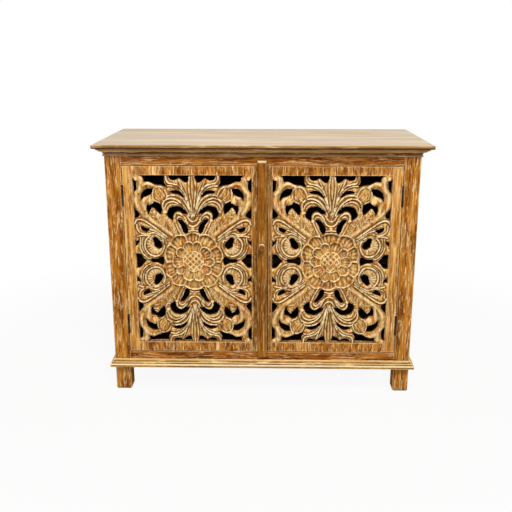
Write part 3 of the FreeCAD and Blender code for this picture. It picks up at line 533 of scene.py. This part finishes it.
CENTRE_PALM = [
    (ARRIS, [(6, 264), (8.5, 250), (10, 232), (8.5, 208), (5.5, 182), (3, 160), (1, 142)]),
    (VEIN, [(0, 262), (0, 230), (0, 196)]),
    (ARRIS, [(40, 252), (34, 238), (27, 220), (19, 200), (12, 175), (6.5, 152), (3, 138)]),
    (VEIN, [(36, 250), (27, 238), (20, 222), (15.5, 205), (12, 190)]),
    (CORD, [(79, 264), (78, 252), (70, 242), (56, 239), (42, 234), (29, 221), (20.5, 204), (13.5, 184),
            (7, 158)]),
    (ARRIS, [(77, 233), (64, 234), (48, 228.5), (37, 220.5), (27.5, 207), (18.5, 190), (10.5, 165)]),
    (VEIN, [(56, 246), (46, 240), (35, 229)]),
]
ARCH = [
    (ARRIS, [(77, 198), (70, 204), (56, 205.5), (42, 202.5), (28.5, 193), (17, 175), (8, 150)]),
    (CORD, [(88, 160), (90, 172), (86.5, 184), (77, 193), (63, 196), (47, 191.5), (33, 181), (21.5, 165),
            (11, 143)]),
    (ARRIS, [(81, 152), (83.5, 167), (74, 181), (59, 186), (44.5, 181.5), (31.5, 171), (20.5, 155)]),
    (VEIN, [(77, 157), (71, 171), (57, 177), (42, 174.5), (30, 165)]),
]
BUD = [
    (ARRIS, [(99, 181), (114, 190), (119, 203), (118, 217), (111, 228), (98, 231), (85, 224), (77, 210),
             (75, 200)]),
    (VEIN, [(99, 228), (94, 216), (84, 203), (76, 195)]),
    (VEIN, [(110, 225), (107, 209), (97, 195), (86, 187)]),
]
SCROLLS = [
    (ROLL, [(112, 233), (121, 240), (135, 241), (149, 234), (160, 222), (168, 206), (170, 188), (165, 170),
            (156, 155), (147, 146)]),
    (ROLL, [(149, 147), (132, 133), (112, 118), (93, 105), (76, 92), (62, 82)]),
    (ROLL, [(142, 149), (144, 162), (147.5, 178), (143, 191), (132, 197.5), (122, 195)]),
    (CROOK, [(161, 216), (156, 230), (154.5, 244), (158, 254), (165, 259)]),
]
ACANTHUS = [
    (VEIN, [(121, 160), (111, 143), (94, 119), (77, 97), (62, 82)]),
    (VEIN, [(91, 146), (79, 125), (66, 103), (52, 82)]),
    (VEIN, [(79, 136), (70, 121), (58, 101), (45, 80)]),
    (ARRIS, [(54, 124), (47, 106), (38, 88), (34, 80)]),
]
SIDE_LEAF = [
    (CORD, [(176, 116), (171, 126), (160, 129.5), (146, 125), (131, 115), (113, 102), (95, 88), (78, 74)]),
    (VEIN, [(152, 113), (138, 110), (122, 102), (106, 91), (90, 79)]),
    (ARRIS, [(131, 99), (118, 95), (104, 88), (91, 77), (77, 65)]),
    (ARRIS, [(170, 113), (170, 101), (163, 90), (150, 84), (136, 84), (120, 89), (106, 84), (92, 74)]),
    (ARRIS, [(170, 76), (157, 80), (143, 79.5), (131, 80)]),
    (VEIN, [(106, 74), (94, 71), (80, 61)]),
    (VEIN, [(101, 64), (91, 63), (82, 56)]),
]
VOLUTE = [
    (CORD, [(136, 76), (147, 62), (149, 43), (139, 24), (121, 15.5), (104, 19), (93, 34), (89.5, 52),
            (94, 66)]),
    (ARRIS, [(162, 72), (163.5, 55), (164, 42), (157, 24), (144, 11), (133, 6)]),
    (VEIN, [(156, 70), (158, 52), (152, 30), (138, 15), (120, 9)]),
]
NECK = [
    (CORD, [(22, 128), (14, 116), (6, 111), (0, 110)]),
    (ARRIS, [(17, 143), (11, 131), (5, 126), (0, 125)]),
    (ARRIS, [(15, 94), (8, 96), (0, 97)]),
    (CORD, [(54, 127), (56, 138), (51.5, 147.5), (42, 150.5), (31, 144), (21, 131)]),
    (ARRIS, [(48, 133), (41.5, 139.5), (32, 136), (24, 124)]),
]
# Ribs of the feathered leaves, with how many barbs each has on both sides and how long they are
FEATHERED = [
    ([(121, 160), (111, 143), (94, 119), (79, 100)], 6, 14),
    ([(79, 136), (70, 121), (58, 101), (51, 90)], 5, 8),
]
# Round knobs of wood: place, radius and height
BEADS = [(126, 189, 11, 3.4), (84, 154, 6.5, 2.4), (55, 127, 5.5, 2.2), (0, 103.5, 6, 2.6),
         (168, 257, 7.5, 3.4)]

CURVE_STEPS = 8


def curve_through(points, closed):
    """Close points on the smooth curve through a few."""
    given = np.array(points, float)
    if closed:
        given = np.vstack([given[-1], given, given[:2]])
    else:
        given = np.vstack([2 * given[0] - given[1], given, 2 * given[-1] - given[-2]])
    before, start, end, after = given[:-3], given[1:-2], given[2:-1], given[3:]
    spans = []
    for t in np.arange(CURVE_STEPS) / CURVE_STEPS:
        square = (2 * before - 5 * start + 4 * end - after) * t ** 2
        cube = (3 * start - before - 3 * end + after) * t ** 3
        spans.append(0.5 * (2 * start + (end - before) * t + square + cube))
    line = np.stack(spans, 1).reshape(-1, 2)
    return np.vstack([line, line[:1] if closed else given[-2:-1]])


VOLUTE_MIDDLE = (114, 51)
VOLUTE_REACH = 31
FLUTE_COUNT = 10
FIRST_FLUTE = -115
FLUTE_STEP = 20
FLUTE_RADII = (15, 22, 29)


def flutes():
    """Short cuts that fan out around the eye of the volute."""
    cuts = []
    for flute in range(FLUTE_COUNT):
        turn = math.radians(FIRST_FLUTE + FLUTE_STEP * flute)
        cuts.append((VEIN, [(VOLUTE_MIDDLE[0] + r * math.cos(turn), VOLUTE_MIDDLE[1] + r * math.sin(turn))
                            for r in FLUTE_RADII]))
    return cuts


BARB_AHEAD = 0.66
BARB_ASIDE = 0.75
BARB_GAP = 2


def barbs(rib, count, length):
    """Short cuts that branch off a leaf's rib on both sides and lean towards its tip."""
    line = curve_through(rib, False)
    cuts = []
    for i in np.linspace(1, len(line) - 2, count).round().astype(int):
        ahead = (line[i - 1] - line[i + 1]) / np.linalg.norm(line[i - 1] - line[i + 1])
        for side in (1, -1):
            lean = BARB_AHEAD * ahead + BARB_ASIDE * side * np.array([-ahead[1], ahead[0]])
            cuts.append((BARB, [line[i] + BARB_GAP * lean, line[i] + length * lean]))
    return cuts


LINES = CENTRE_PALM + ARCH + BUD + SCROLLS + ACANTHUS + SIDE_LEAF + VOLUTE + NECK + flutes()
for leaf_rib, barb_count, barb_length in FEATHERED:
    LINES += barbs(leaf_rib, barb_count, barb_length)


def distance_to(line, spots):
    """How far each spot lies from a line of short straight pieces."""
    nearest = np.full(len(spots), np.inf)
    for start, end in zip(line[:-1], line[1:]):
        run = end - start
        along = np.clip(((spots - start) @ run) / max(run @ run, 1e-9), 0, 1)
        nearest = np.minimum(nearest, np.linalg.norm(spots - start - along[:, None] * run, axis=1))
    return nearest


def encloses(loop, spots):
    """Whether each spot lies inside a closed line."""
    inside = np.zeros(len(spots), bool)
    for start, end in zip(loop[:-1], loop[1:]):
        if start[1] != end[1]:
            crossing = start[0] + (spots[:, 1] - start[1]) * (end[0] - start[0]) / (end[1] - start[1])
            inside ^= ((start[1] > spots[:, 1]) != (end[1] > spots[:, 1])) & (spots[:, 0] < crossing)
    return inside


def near(line, spots, margin):
    """Which spots lie within a margin of the line's own box."""
    low, high = line.min(0) - margin, line.max(0) + margin
    return np.flatnonzero(((spots > low) & (spots < high)).all(1))


def swell(away, half_width):
    """1 on a line, falling smoothly to almost nothing at twice its half width."""
    return np.exp(-(away / half_width) ** 2)


FURTHEST_CLEARANCE = 14.0


def clearance(quarter, whole):
    """How far each spot lies from the nearest opening: below 0 inside one. Spots are given folded
    into a quarter, and folded across the middle only."""
    clear = np.full(len(quarter), FURTHEST_CLEARANCE)
    loops = [(curve_through(points, True), quarter) for points in OPENINGS]
    loops.append((curve_through(MIDDLE_OPENING, True), whole))
    bays = [(points, quarter) for points in SIDE_BAYS + TOP_BAYS] + [(MIDDLE_BAY, whole)]
    for points, spots in bays:
        line = curve_through(points, False)
        loops.append((np.vstack([line, line[:1]]), spots))
    for loop, spots in loops:
        close = near(loop, spots, FURTHEST_CLEARANCE)
        away = distance_to(loop, spots[close])
        away[encloses(loop, spots[close])] *= -1
        clear[close] = np.minimum(clear[close], away)
    return clear


# Height of the bodies over the plain face, the width over which they round off and how far they fall
CROWN = 2.2
ROUNDED = 10.0
ROUND_FALL = 8.0
LINE_REACH = 11.0
# Half widths from a crest to the deepest place of the hollow beside it
HOLLOW_OUT = 1.9
BEAD_SUNK = 1.5
BEAD_BARED = 0.75


def scrolls_and_leaves(spots, clear):
    """Height of the rounded bodies and the carved lines on them, how far each spot is rubbed bare and
    how deep it lies in a hollow."""
    edge = 1 - np.clip(clear / ROUNDED, 0, 1)
    height = CROWN - ROUND_FALL * (1 - np.sqrt(1 - edge ** 2))
    lift, crest, bared, hollow = np.zeros((4, len(spots)))
    for (rise, half_width, depth, share), points in LINES:
        line = curve_through(points, False)
        close = near(line, spots, LINE_REACH)
        away = distance_to(line, spots[close])
        ridge = swell(away, half_width)
        beside = away / (HOLLOW_OUT * half_width)
        lift[close] = np.maximum(lift[close], rise * ridge)
        crest[close] = np.maximum(crest[close], ridge)
        bared[close] = np.maximum(bared[close], share * ridge)
        hollow[close] = np.maximum(hollow[close], depth * beside * np.exp((1 - beside ** 2) / 2))
    height += lift - hollow * (1 - crest)
    for across, up, radius, rise in BEADS:
        away = np.linalg.norm(spots - (across, up), axis=1) / radius
        on_bead = away < 1
        height[on_bead] = (CROWN - BEAD_SUNK + rise * np.sqrt(np.clip(1 - away ** 2, 0, 1)))[on_bead]
        bared[on_bead] = np.clip(BEAD_BARED - away, 0, 1)[on_bead]
        hollow[on_bead] = 0
    return height, bared, hollow / DEEPEST_LINE


# Lobes, turn of the first one, reach at the clefts and at the tips, how much further the ring reaches
# towards the corners, height of the rim and depth of the scoop
OUTER_LEAVES = (10, 0.0, 80.0, 91.0, 8.0, 5.5, 7.0)
INNER_PETALS = (10, math.pi / 10, 53.0, 65.0, 0.0, 9.0, 6.5)
# How far the leaves sway around the ring, in radians, and how far their reach wanders
BROAD_SWAY = 0.05
FINE_SWAY = 0.035
WANDER = 1.5
BLUNT_TIP = 0.6
RIM_INSET = 1.5
RIM_HALF = 1.8
CLEFT_HALF = 1.4
CLEFT_RIDGE = 0.5
# The scoop falls over this length from the rim, and faster from the clefts
SCOOP_RUN = 3.5
CLEFT_FASTER = 1.6
RISE_INWARD = 0.035
GOUGE_CUTS = 4
GOUGE_DEPTH = 0.9
# How much less the lower leaves get of the painted highlight on their rims and of the painted shade in their
# scoops, as the light falls from above
LOWER_RIM_HIGHLIGHT_LOSS = 0.4
LOWER_SHADE_LOSS = 0.45
RIDGE_BARED = 0.4
BETWEEN_CUTS_BARED = 0.3
SHADE_INSET = 6
SHADE_HALF = 11
CUT_SHADE = 0.35


def ring_of_leaves(spots, drift, ring, height, crest, hollow):
    """Lays a ring of scooped leaves with raised rims and gouge cuts over the carving. The rims are rubbed
    bare, with a painted highlight that is stronger on the upper leaves, and the scoops get painted shade just
    under the rims, weaker on the lower leaves.
    """
    lobes, first, valley, tip, corner, rim_height, scoop = ring
    radius = np.linalg.norm(spots, axis=1)
    turn = np.arctan2(spots[:, 0], spots[:, 1])
    swayed = turn + BROAD_SWAY * np.sin(3 * turn + drift) + FINE_SWAY * np.sin(5 * turn - 2 * drift)
    phase = lobes * (swayed - first) / 2
    reach = valley + (tip - valley) * np.abs(np.cos(phase)) ** BLUNT_TIP
    reach += corner * np.sin(2 * turn) ** 2 + WANDER * np.sin(4 * turn + 3 * drift)
    inward = reach - radius
    from_cleft = np.arcsin(np.abs(np.cos(phase))) * 2 / lobes * radius
    rim = swell(inward - RIM_INSET, RIM_HALF)
    ridge = np.maximum(rim, CLEFT_RIDGE * swell(from_cleft, CLEFT_HALF))
    cuts = 0.5 - 0.5 * np.cos(2 * GOUGE_CUTS * phase)
    sunk = 1 - np.exp(-np.minimum(inward, CLEFT_FASTER * from_cleft) / SCOOP_RUN)
    tier = rim_height - scoop * sunk * (1 - ridge) + RISE_INWARD * inward - GOUGE_DEPTH * cuts * sunk
    lower = np.clip(0.5 - spots[:, 1] / tip, 0, 1)
    bared = np.maximum(RIDGE_BARED * ridge, BETWEEN_CUTS_BARED * (1 - cuts) * sunk)
    # Rims rubbed bare, with a painted highlight that fades on the lower leaves
    bared = np.maximum(rim * (1 - LOWER_RIM_HIGHLIGHT_LOSS * lower), bared)
    # Painted shade: darkest in the scoop just under the rim and in the gouge cuts, weaker on the lower leaves
    shade = swell(inward - SHADE_INSET, SHADE_HALF) + CUT_SHADE * cuts
    shade *= sunk * (1 - LOWER_SHADE_LOSS * lower) * (1 - ridge)
    inside = inward > 0
    height[inside] = tier[inside]
    crest[inside] = bared[inside]
    hollow[inside] = shade[inside]


DISC = 33.0
DISC_EDGE = 7.0
DISC_DOME = 3.0
LATTICE = 13.0
LATTICE_HALF = 1.3
LATTICE_DEPTH = 1.8
LATTICE_BARED = 0.85
LATTICE_SHADE = 0.45
BORDER_INSET = 1.2
DOME_OVERHANG = 2


def cross_cut_disc(spots, height, crest, hollow):
    """Lays the rosette's middle over the carving: a low dome with a raised border and lattice."""
    radius = np.linalg.norm(spots, axis=1)
    disc = radius < DISC
    lines = swell(radius - DISC + BORDER_INSET, LATTICE_HALF)
    for slope in (1, -1):
        across = (spots[:, 0] + slope * spots[:, 1]) / math.sqrt(2)
        from_line = np.abs((across / LATTICE) % 1 - 0.5) * LATTICE
        lines = np.maximum(lines, swell(from_line, LATTICE_HALF))
    dome = DISC_EDGE + DISC_DOME * np.sqrt(np.clip(1 - (radius / (DISC + DOME_OVERHANG)) ** 2, 0, 1))
    height[disc] = (dome - LATTICE_DEPTH * (1 - lines))[disc]
    crest[disc] = LATTICE_BARED * lines[disc]
    hollow[disc] = (LATTICE_SHADE * (1 - lines))[disc]


# Distance between neighbouring corners of a panel's mesh
PITCH = 1.85
# Millimetres to a radian of the slow waves in which the carver's hand drifts
DRIFT_ACROSS = (41, 57)
DRIFT_UP = (37, 63)
CHISEL_DEPTH = 0.25
CHISEL_STEP = 2.9
CHISEL_SWAY = 3
CHISEL_SWAY_LENGTH = 9
SHELL_BARED = 0.35


def carve(half_width, half_height, drift):
    """A grid over one panel, with the heights, the shares of crest and of hollow, and the clearances
    there. Lengths are in millimetres."""
    across = np.linspace(-half_width, half_width, round(2 * half_width / PITCH) + 1)
    up = np.linspace(-half_height, half_height, round(2 * half_height / PITCH) + 1)
    grid_across, grid_up = np.meshgrid(across, up, indexing="ij")
    # The carver's hand: each repeat of the quarter drifts by about a millimetre
    drift_across = np.sin(grid_up / DRIFT_ACROSS[0] + drift) * np.cos(grid_across / DRIFT_ACROSS[1] - drift)
    drift_up = np.sin(grid_across / DRIFT_UP[0] - drift) * np.cos(grid_up / DRIFT_UP[1] + 2 * drift)
    aside = (grid_across + drift_across).ravel()
    level = (grid_up + drift_up).ravel()
    spots = np.stack([aside, level], -1)
    whole = np.stack([np.abs(aside), level], -1)
    quarter = np.stack([np.abs(aside), np.where(level > 0, level, -level - LOWER_HALF_DROP)], -1)
    clear = clearance(quarter, whole)
    height, crest, hollow = scrolls_and_leaves(quarter, clear)
    for ring in (OUTER_LEAVES, INNER_PETALS):
        ring_of_leaves(spots, drift, ring, height, crest, hollow)
    cross_cut_disc(spots, height, crest, hollow)
    chisel_sway = CHISEL_SWAY * np.sin(grid_up.ravel() / CHISEL_SWAY_LENGTH)
    height += CHISEL_DEPTH * np.sin(grid_across.ravel() / CHISEL_STEP + chisel_sway)
    shell = np.linalg.norm(quarter - VOLUTE_MIDDLE, axis=1) < VOLUTE_REACH
    crest[shell] = np.maximum(crest[shell], SHELL_BARED)
    fields = (height, crest, hollow, clear)
    return across, up, [field.reshape(grid_across.shape) for field in fields]


def softened(field, reach):
    """A field averaged over a square of the grid."""
    for axis in (0, 1):
        padded = np.pad(field, [(reach + 1, reach) if a == axis else (0, 0) for a in (0, 1)], mode="edge")
        total = np.cumsum(padded, axis)
        width = 2 * reach + 1
        upper = np.take(total, range(width, total.shape[axis]), axis)
        lower = np.take(total, range(0, total.shape[axis] - width), axis)
        field = (upper - lower) / width
    return field


# The least share of an edge that a cut leaves on either side, so that no face is a sliver
LEAST_SHARE = 0.06


def cut_cells(across, up, fields):
    """Faces of the grid cut along the edges of the openings, which the first field gives. Returns the
    corners, each with its place across and up and the fields there, and the faces."""
    clear = fields[0]
    wide, tall = clear.shape
    number = np.full(clear.shape, -1)
    inside = clear > 0
    number[inside] = np.arange(inside.sum())
    columns, rows = np.nonzero(inside)
    corners = [list(row) for row in zip(across[columns], up[rows], *[f[inside] for f in fields])]
    crossings = {}

    def crossing(first, second):
        """The corner where an edge of the grid leaves the wood."""
        key = (first, second) if first < second else (second, first)
        if key not in crossings:
            part = clear[first] / (clear[first] - clear[second])
            part = min(max(part, LEAST_SHARE), 1 - LEAST_SHARE)
            ends = [[across[spot[0]], up[spot[1]], *[f[spot] for f in fields]] for spot in (first, second)]
            wood = ends[0] if clear[first] > 0 else ends[1]
            place = [a + (b - a) * part for a, b in zip(ends[0][:2], ends[1][:2])]
            crossings[key] = len(corners)
            corners.append(place + wood[2:])
        return crossings[key]

    faces = []
    for i in range(wide - 1):
        for j in range(tall - 1):
            ring = [(i, j), (i + 1, j), (i + 1, j + 1), (i, j + 1)]
            if inside[i:i + 2, j:j + 2].all():
                faces.append([number[spot] for spot in ring])
            elif inside[i:i + 2, j:j + 2].any():
                face = []
                for here, after in zip(ring, ring[1:] + ring[:1]):
                    if inside[here]:
                        face.append(number[here])
                    if inside[here] != inside[after]:
                        face.append(crossing(here, after))
                faces.append(face)
    return np.array(corners), faces


OPENING_LEVEL = -5.0
PROUD_REACH = 3
PROUD_RUBBED = 0.14
SUNK_STAINED = 0.08
EDGE_RUBBED = 0.35
EDGE_INSET = 1.0
EDGE_HALF = 1.4


def carved_face(half_width, half_height, drift):
    """Corners and faces of a panel's front. Each corner has its place across and up, its clearance and
    height, how far it is rubbed, and how far it is darkened by stain and painted shade."""
    across, up, (height, crest, hollow, clear) = carve(half_width, half_height, drift)
    relief = np.where(clear > 0, height, OPENING_LEVEL)
    proud = relief - softened(relief, PROUD_REACH)
    edge = EDGE_RUBBED * swell(clear - EDGE_INSET, EDGE_HALF)
    rubbed = np.clip(np.maximum(crest, edge) + PROUD_RUBBED * proud, 0, 1)
    # Darker in the hollows and in sunk places: stain and painted shade
    stained = np.clip(hollow - SUNK_STAINED * proud, 0, 1)
    return cut_cells(across, up, [clear, height, rubbed, stained])


def rim_edges(faces):
    """The edges that only one face has."""
    rims = {}
    for face in faces:
        for start, end in zip(face, face[1:] + face[:1]):
            if (end, start) in rims:
                del rims[(end, start)]
            else:
                rims[(start, end)] = True
    return list(rims)


def frame_opening(hand):
    """Left, right, bottom and top of the opening in a door's frame."""
    stile_low, stile_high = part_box(f"{hand}_door_hinge_stile")
    meeting_low, meeting_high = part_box(f"{hand}_door_meeting_stile")
    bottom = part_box(f"{hand}_door_bottom_rail")[1].z
    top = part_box(f"{hand}_door_top_rail")[0].z
    if hand == "left":
        return stile_high.x, meeting_low.x, bottom, top
    return meeting_high.x, stile_low.x, bottom, top


PLAIN_THICKNESS = 16 * MM
BACK_STAINED = 0.3
SHARP_FROM = math.radians(52)


def carved_panel(hand, drift):
    """A pierced and carved panel, with a flat back and sawn walls, in the place of its solid."""
    node_name = f"{hand}_door_carved_panel"
    left, right, bottom, top = frame_opening(hand)
    corners, faces = carved_face((right - left) / 2 / MM, (top - bottom) / 2 / MM, drift)
    across, up, _, height, rubbed, stained = corners.T
    count = len(corners)
    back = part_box(node_name)[1].y
    x = (left + right) / 2 + across * MM
    z = (bottom + top) / 2 + up * MM
    front = np.stack([x, back - PLAIN_THICKNESS - height * MM, z], -1)
    behind = np.stack([x, np.full(count, back), z], -1)
    walls = [[end, start, start + count, end + count] for start, end in rim_edges(faces)]
    backs = [[corner + count for corner in reversed(face)] for face in faces]
    mesh = bpy.data.meshes.new(f"{hand}_carving")
    mesh.from_pydata(np.vstack([front, behind]).tolist(), [], faces + backs + walls)
    for name, values, behind_value in (("rubbed", rubbed, 0.0), ("hollow", stained, BACK_STAINED)):
        layer = mesh.attributes.new(name, "FLOAT", "POINT")
        layer.data.foreach_set("value", np.concatenate([values, np.full(count, behind_value)]))
    mesh.polygons.foreach_set("use_smooth", [True] * len(mesh.polygons))
    for wood in (carved_wood, back_wood, cut_wood):
        mesh.materials.append(wood)
    mesh.polygons.foreach_set("material_index", [0] * len(faces) + [1] * len(faces) + [2] * len(walls))
    mesh.set_sharp_from_angle(angle=SHARP_FROM)
    mesh.validate()
    panel = bpy.data.objects.new(f"{hand}_carving", mesh)
    bpy.context.scene.collection.objects.link(panel)
    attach(panel, f"{hand}_door")
    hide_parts(node_name)


carved_panel("left", drift=0.6)
carved_panel("right", drift=2.1)


# Slotted screws that hold the hinge leaves, with lengths in millimetres

SCREW_RADIUS = 2.9
SCREW_PROUD = 0.3
SCREW_SUNK = 0.2
SCREW_CHAMFER = 0.2
SLOT_HALF = 0.45
HALF_HEAD_CORNERS = 13
SCREW_SPREAD = 21.0
SCREW_BACK = 12.0
SCREW_STAGGER = 3.0
SCREW_TURNS = (0.4, 1.3, 2.2)


def slotted_head(middle, outward, turn):
    """Corners and faces of a flat screw head: two half rounds with the slot left between them."""
    corners, faces = [], []
    open_angle = math.asin(SLOT_HALF / SCREW_RADIUS)
    levels = ((-SCREW_SUNK, SCREW_RADIUS), (0.5 * SCREW_PROUD, SCREW_RADIUS),
              (SCREW_PROUD, SCREW_RADIUS - SCREW_CHAMFER))
    many = HALF_HEAD_CORNERS
    for half in (0, math.pi):
        angles = np.linspace(half + open_angle, half + math.pi - open_angle, many)
        start = len(corners)
        for lift, radius in levels:
            for angle in angles:
                along, aside = radius * math.cos(angle), radius * math.sin(angle)
                y = along * math.cos(turn) - aside * math.sin(turn)
                z = along * math.sin(turn) + aside * math.cos(turn)
                corners.append((middle[0] + outward * lift * MM, middle[1] + y * MM, middle[2] + z * MM))
        for low in (start, start + many):
            high = low + many
            for i in range(many):
                after = (i + 1) % many
                faces.append([low + i, low + after, high + after, high + i])
        faces.append([start + 2 * many + i for i in range(many)])
        faces.append([start + i for i in reversed(range(many))])
    if outward < 0:
        faces = [face[::-1] for face in faces]
    return corners, faces


def screw_heads(level, hand, kind):
    """Three screws in one hinge leaf, flush in the gap beside the door."""
    leaf = f"{level}_{hand}_hinge_{kind}_leaf"
    low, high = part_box(leaf)
    side = -1 if hand == "left" else 1
    if kind == "door":
        stile_low, stile_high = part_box(f"{hand}_door_hinge_stile")
        face, outward = (stile_high.x if side > 0 else stile_low.x), side
    else:
        post_low, post_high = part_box(f"front_{hand}_post")
        face, outward = (post_low.x if side > 0 else post_high.x), -side
    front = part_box(f"{hand}_door_hinge_stile")[0].y
    corners, faces = [], []
    for i, turn in zip((-1, 0, 1), SCREW_TURNS):
        y = front + (SCREW_BACK + SCREW_STAGGER * abs(i)) * MM
        z = (low.z + high.z) / 2 + i * SCREW_SPREAD * MM
        head_corners, head_faces = slotted_head((face, y, z), outward, turn)
        faces += [[corner + len(corners) for corner in f] for f in head_faces]
        corners += head_corners
    mesh = bpy.data.meshes.new(f"{leaf}_screws")
    mesh.from_pydata(corners, [], faces)
    mesh.materials.append(iron)
    screws = bpy.data.objects.new(f"{leaf}_screws", mesh)
    bpy.context.scene.collection.objects.link(screws)
    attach(screws, f"{hand}_door" if kind == "door" else "carcass")


for hinge_level in ("upper", "lower"):
    for hinge_side in ("left", "right"):
        for leaf_kind in ("post", "door"):
            screw_heads(hinge_level, hinge_side, leaf_kind)


# Stage, light and camera

PAPER_REACH = 6.0
NEAR_WHITE = 0.93
FADE_START = 0.75
FADE_END = 1.7
WHITE = (1, 1, 1, 1)
ROOM_LIGHT = 0.28


def make_stage():
    """A pale paper floor that keeps a soft shadow and fades into the white background."""
    mesh = bpy.data.meshes.new("floor")
    far = PAPER_REACH
    mesh.from_pydata([(-far, -far, 0), (far, -far, 0), (far, far, 0), (-far, far, 0)], [], [(0, 1, 2, 3)])
    floor = bpy.data.objects.new("floor", mesh)
    bpy.context.scene.collection.objects.link(floor)
    material, tree = new_material("white_paper_floor")
    place = add(tree, "ShaderNodeTexCoord", out="Object")
    from_middle = add(tree, "ShaderNodeVectorMath", {0: place}, out="Value", operation="LENGTH")
    white_share = add(tree, "ShaderNodeMapRange", {
        "Value": from_middle, "From Min": FADE_START, "From Max": FADE_END, "To Min": NEAR_WHITE},
        interpolation_type="SMOOTHSTEP")
    seen = add(tree, "ShaderNodeLightPath", out="Is Camera Ray")
    shown = product(tree, seen, white_share)
    paper = add(tree, "ShaderNodeBsdfDiffuse", {"Color": colour("#c9c7c3")})
    white = add(tree, "ShaderNodeEmission", {"Color": WHITE, "Strength": 1.0})
    mix = add(tree, "ShaderNodeMixShader", {0: shown, 1: paper, 2: white})
    add(tree, "ShaderNodeOutputMaterial", {"Surface": mix})
    mesh.materials.append(material)


def make_world():
    """Even white light, and a white background where the camera or a gloss sees past the floor."""
    world = bpy.data.worlds.new("white_studio")
    bpy.context.scene.world = world
    world.use_nodes = True
    tree = world.node_tree
    tree.nodes.clear()
    shown = add(tree, "ShaderNodeLightPath", out="Is Camera Ray")
    for ray in ("Is Glossy Ray", "Is Transmission Ray"):
        also = add(tree, "ShaderNodeLightPath", out=ray)
        shown = add(tree, "ShaderNodeMath", {0: shown, 1: also}, operation="MAXIMUM")
    soft = add(tree, "ShaderNodeBackground", {"Color": WHITE, "Strength": ROOM_LIGHT})
    white = add(tree, "ShaderNodeBackground", {"Color": WHITE, "Strength": 1.0})
    mix = add(tree, "ShaderNodeMixShader", {0: shown, 1: soft, 2: white})
    add(tree, "ShaderNodeOutputWorld", {"Surface": mix})


# What the softboxes point at, in the middle of the doors
LIT_MIDDLE = (0, 0, 0.42)


def softbox(name, place, size, watts):
    """A square lamp that points at the middle of the doors."""
    lamp = bpy.data.lights.new(name, "AREA")
    lamp.shape = "SQUARE"
    lamp.size = size
    lamp.energy = watts
    box = bpy.data.objects.new(name, lamp)
    box.location = place
    box.rotation_euler = (Vector(LIT_MIDDLE) - Vector(place)).to_track_quat("-Z", "Y").to_euler()
    bpy.context.scene.collection.objects.link(box)


def make_camera():
    """The photograph's view: a little above the top, square to the doors."""
    data = bpy.data.cameras.new("camera")
    data.sensor_width = 36.0
    data.lens = 50.4
    camera = bpy.data.objects.new("camera", data)
    camera.location = (0.0281, -2.3135, 1.0465)
    down = 15.80
    turned = 1.25
    camera.rotation_euler = (math.radians(90 - down), 0.0, math.radians(turned))
    bpy.context.scene.collection.objects.link(camera)
    bpy.context.scene.camera = camera


make_stage()
make_world()
softbox("key_softbox", place=(0.35, -2.1, 3.2), size=1.2, watts=115)
softbox("fill_softbox", place=(-2.2, -2.8, 1.5), size=2.0, watts=22)
make_camera()
bpy.context.scene.view_settings.view_transform = "Standard"
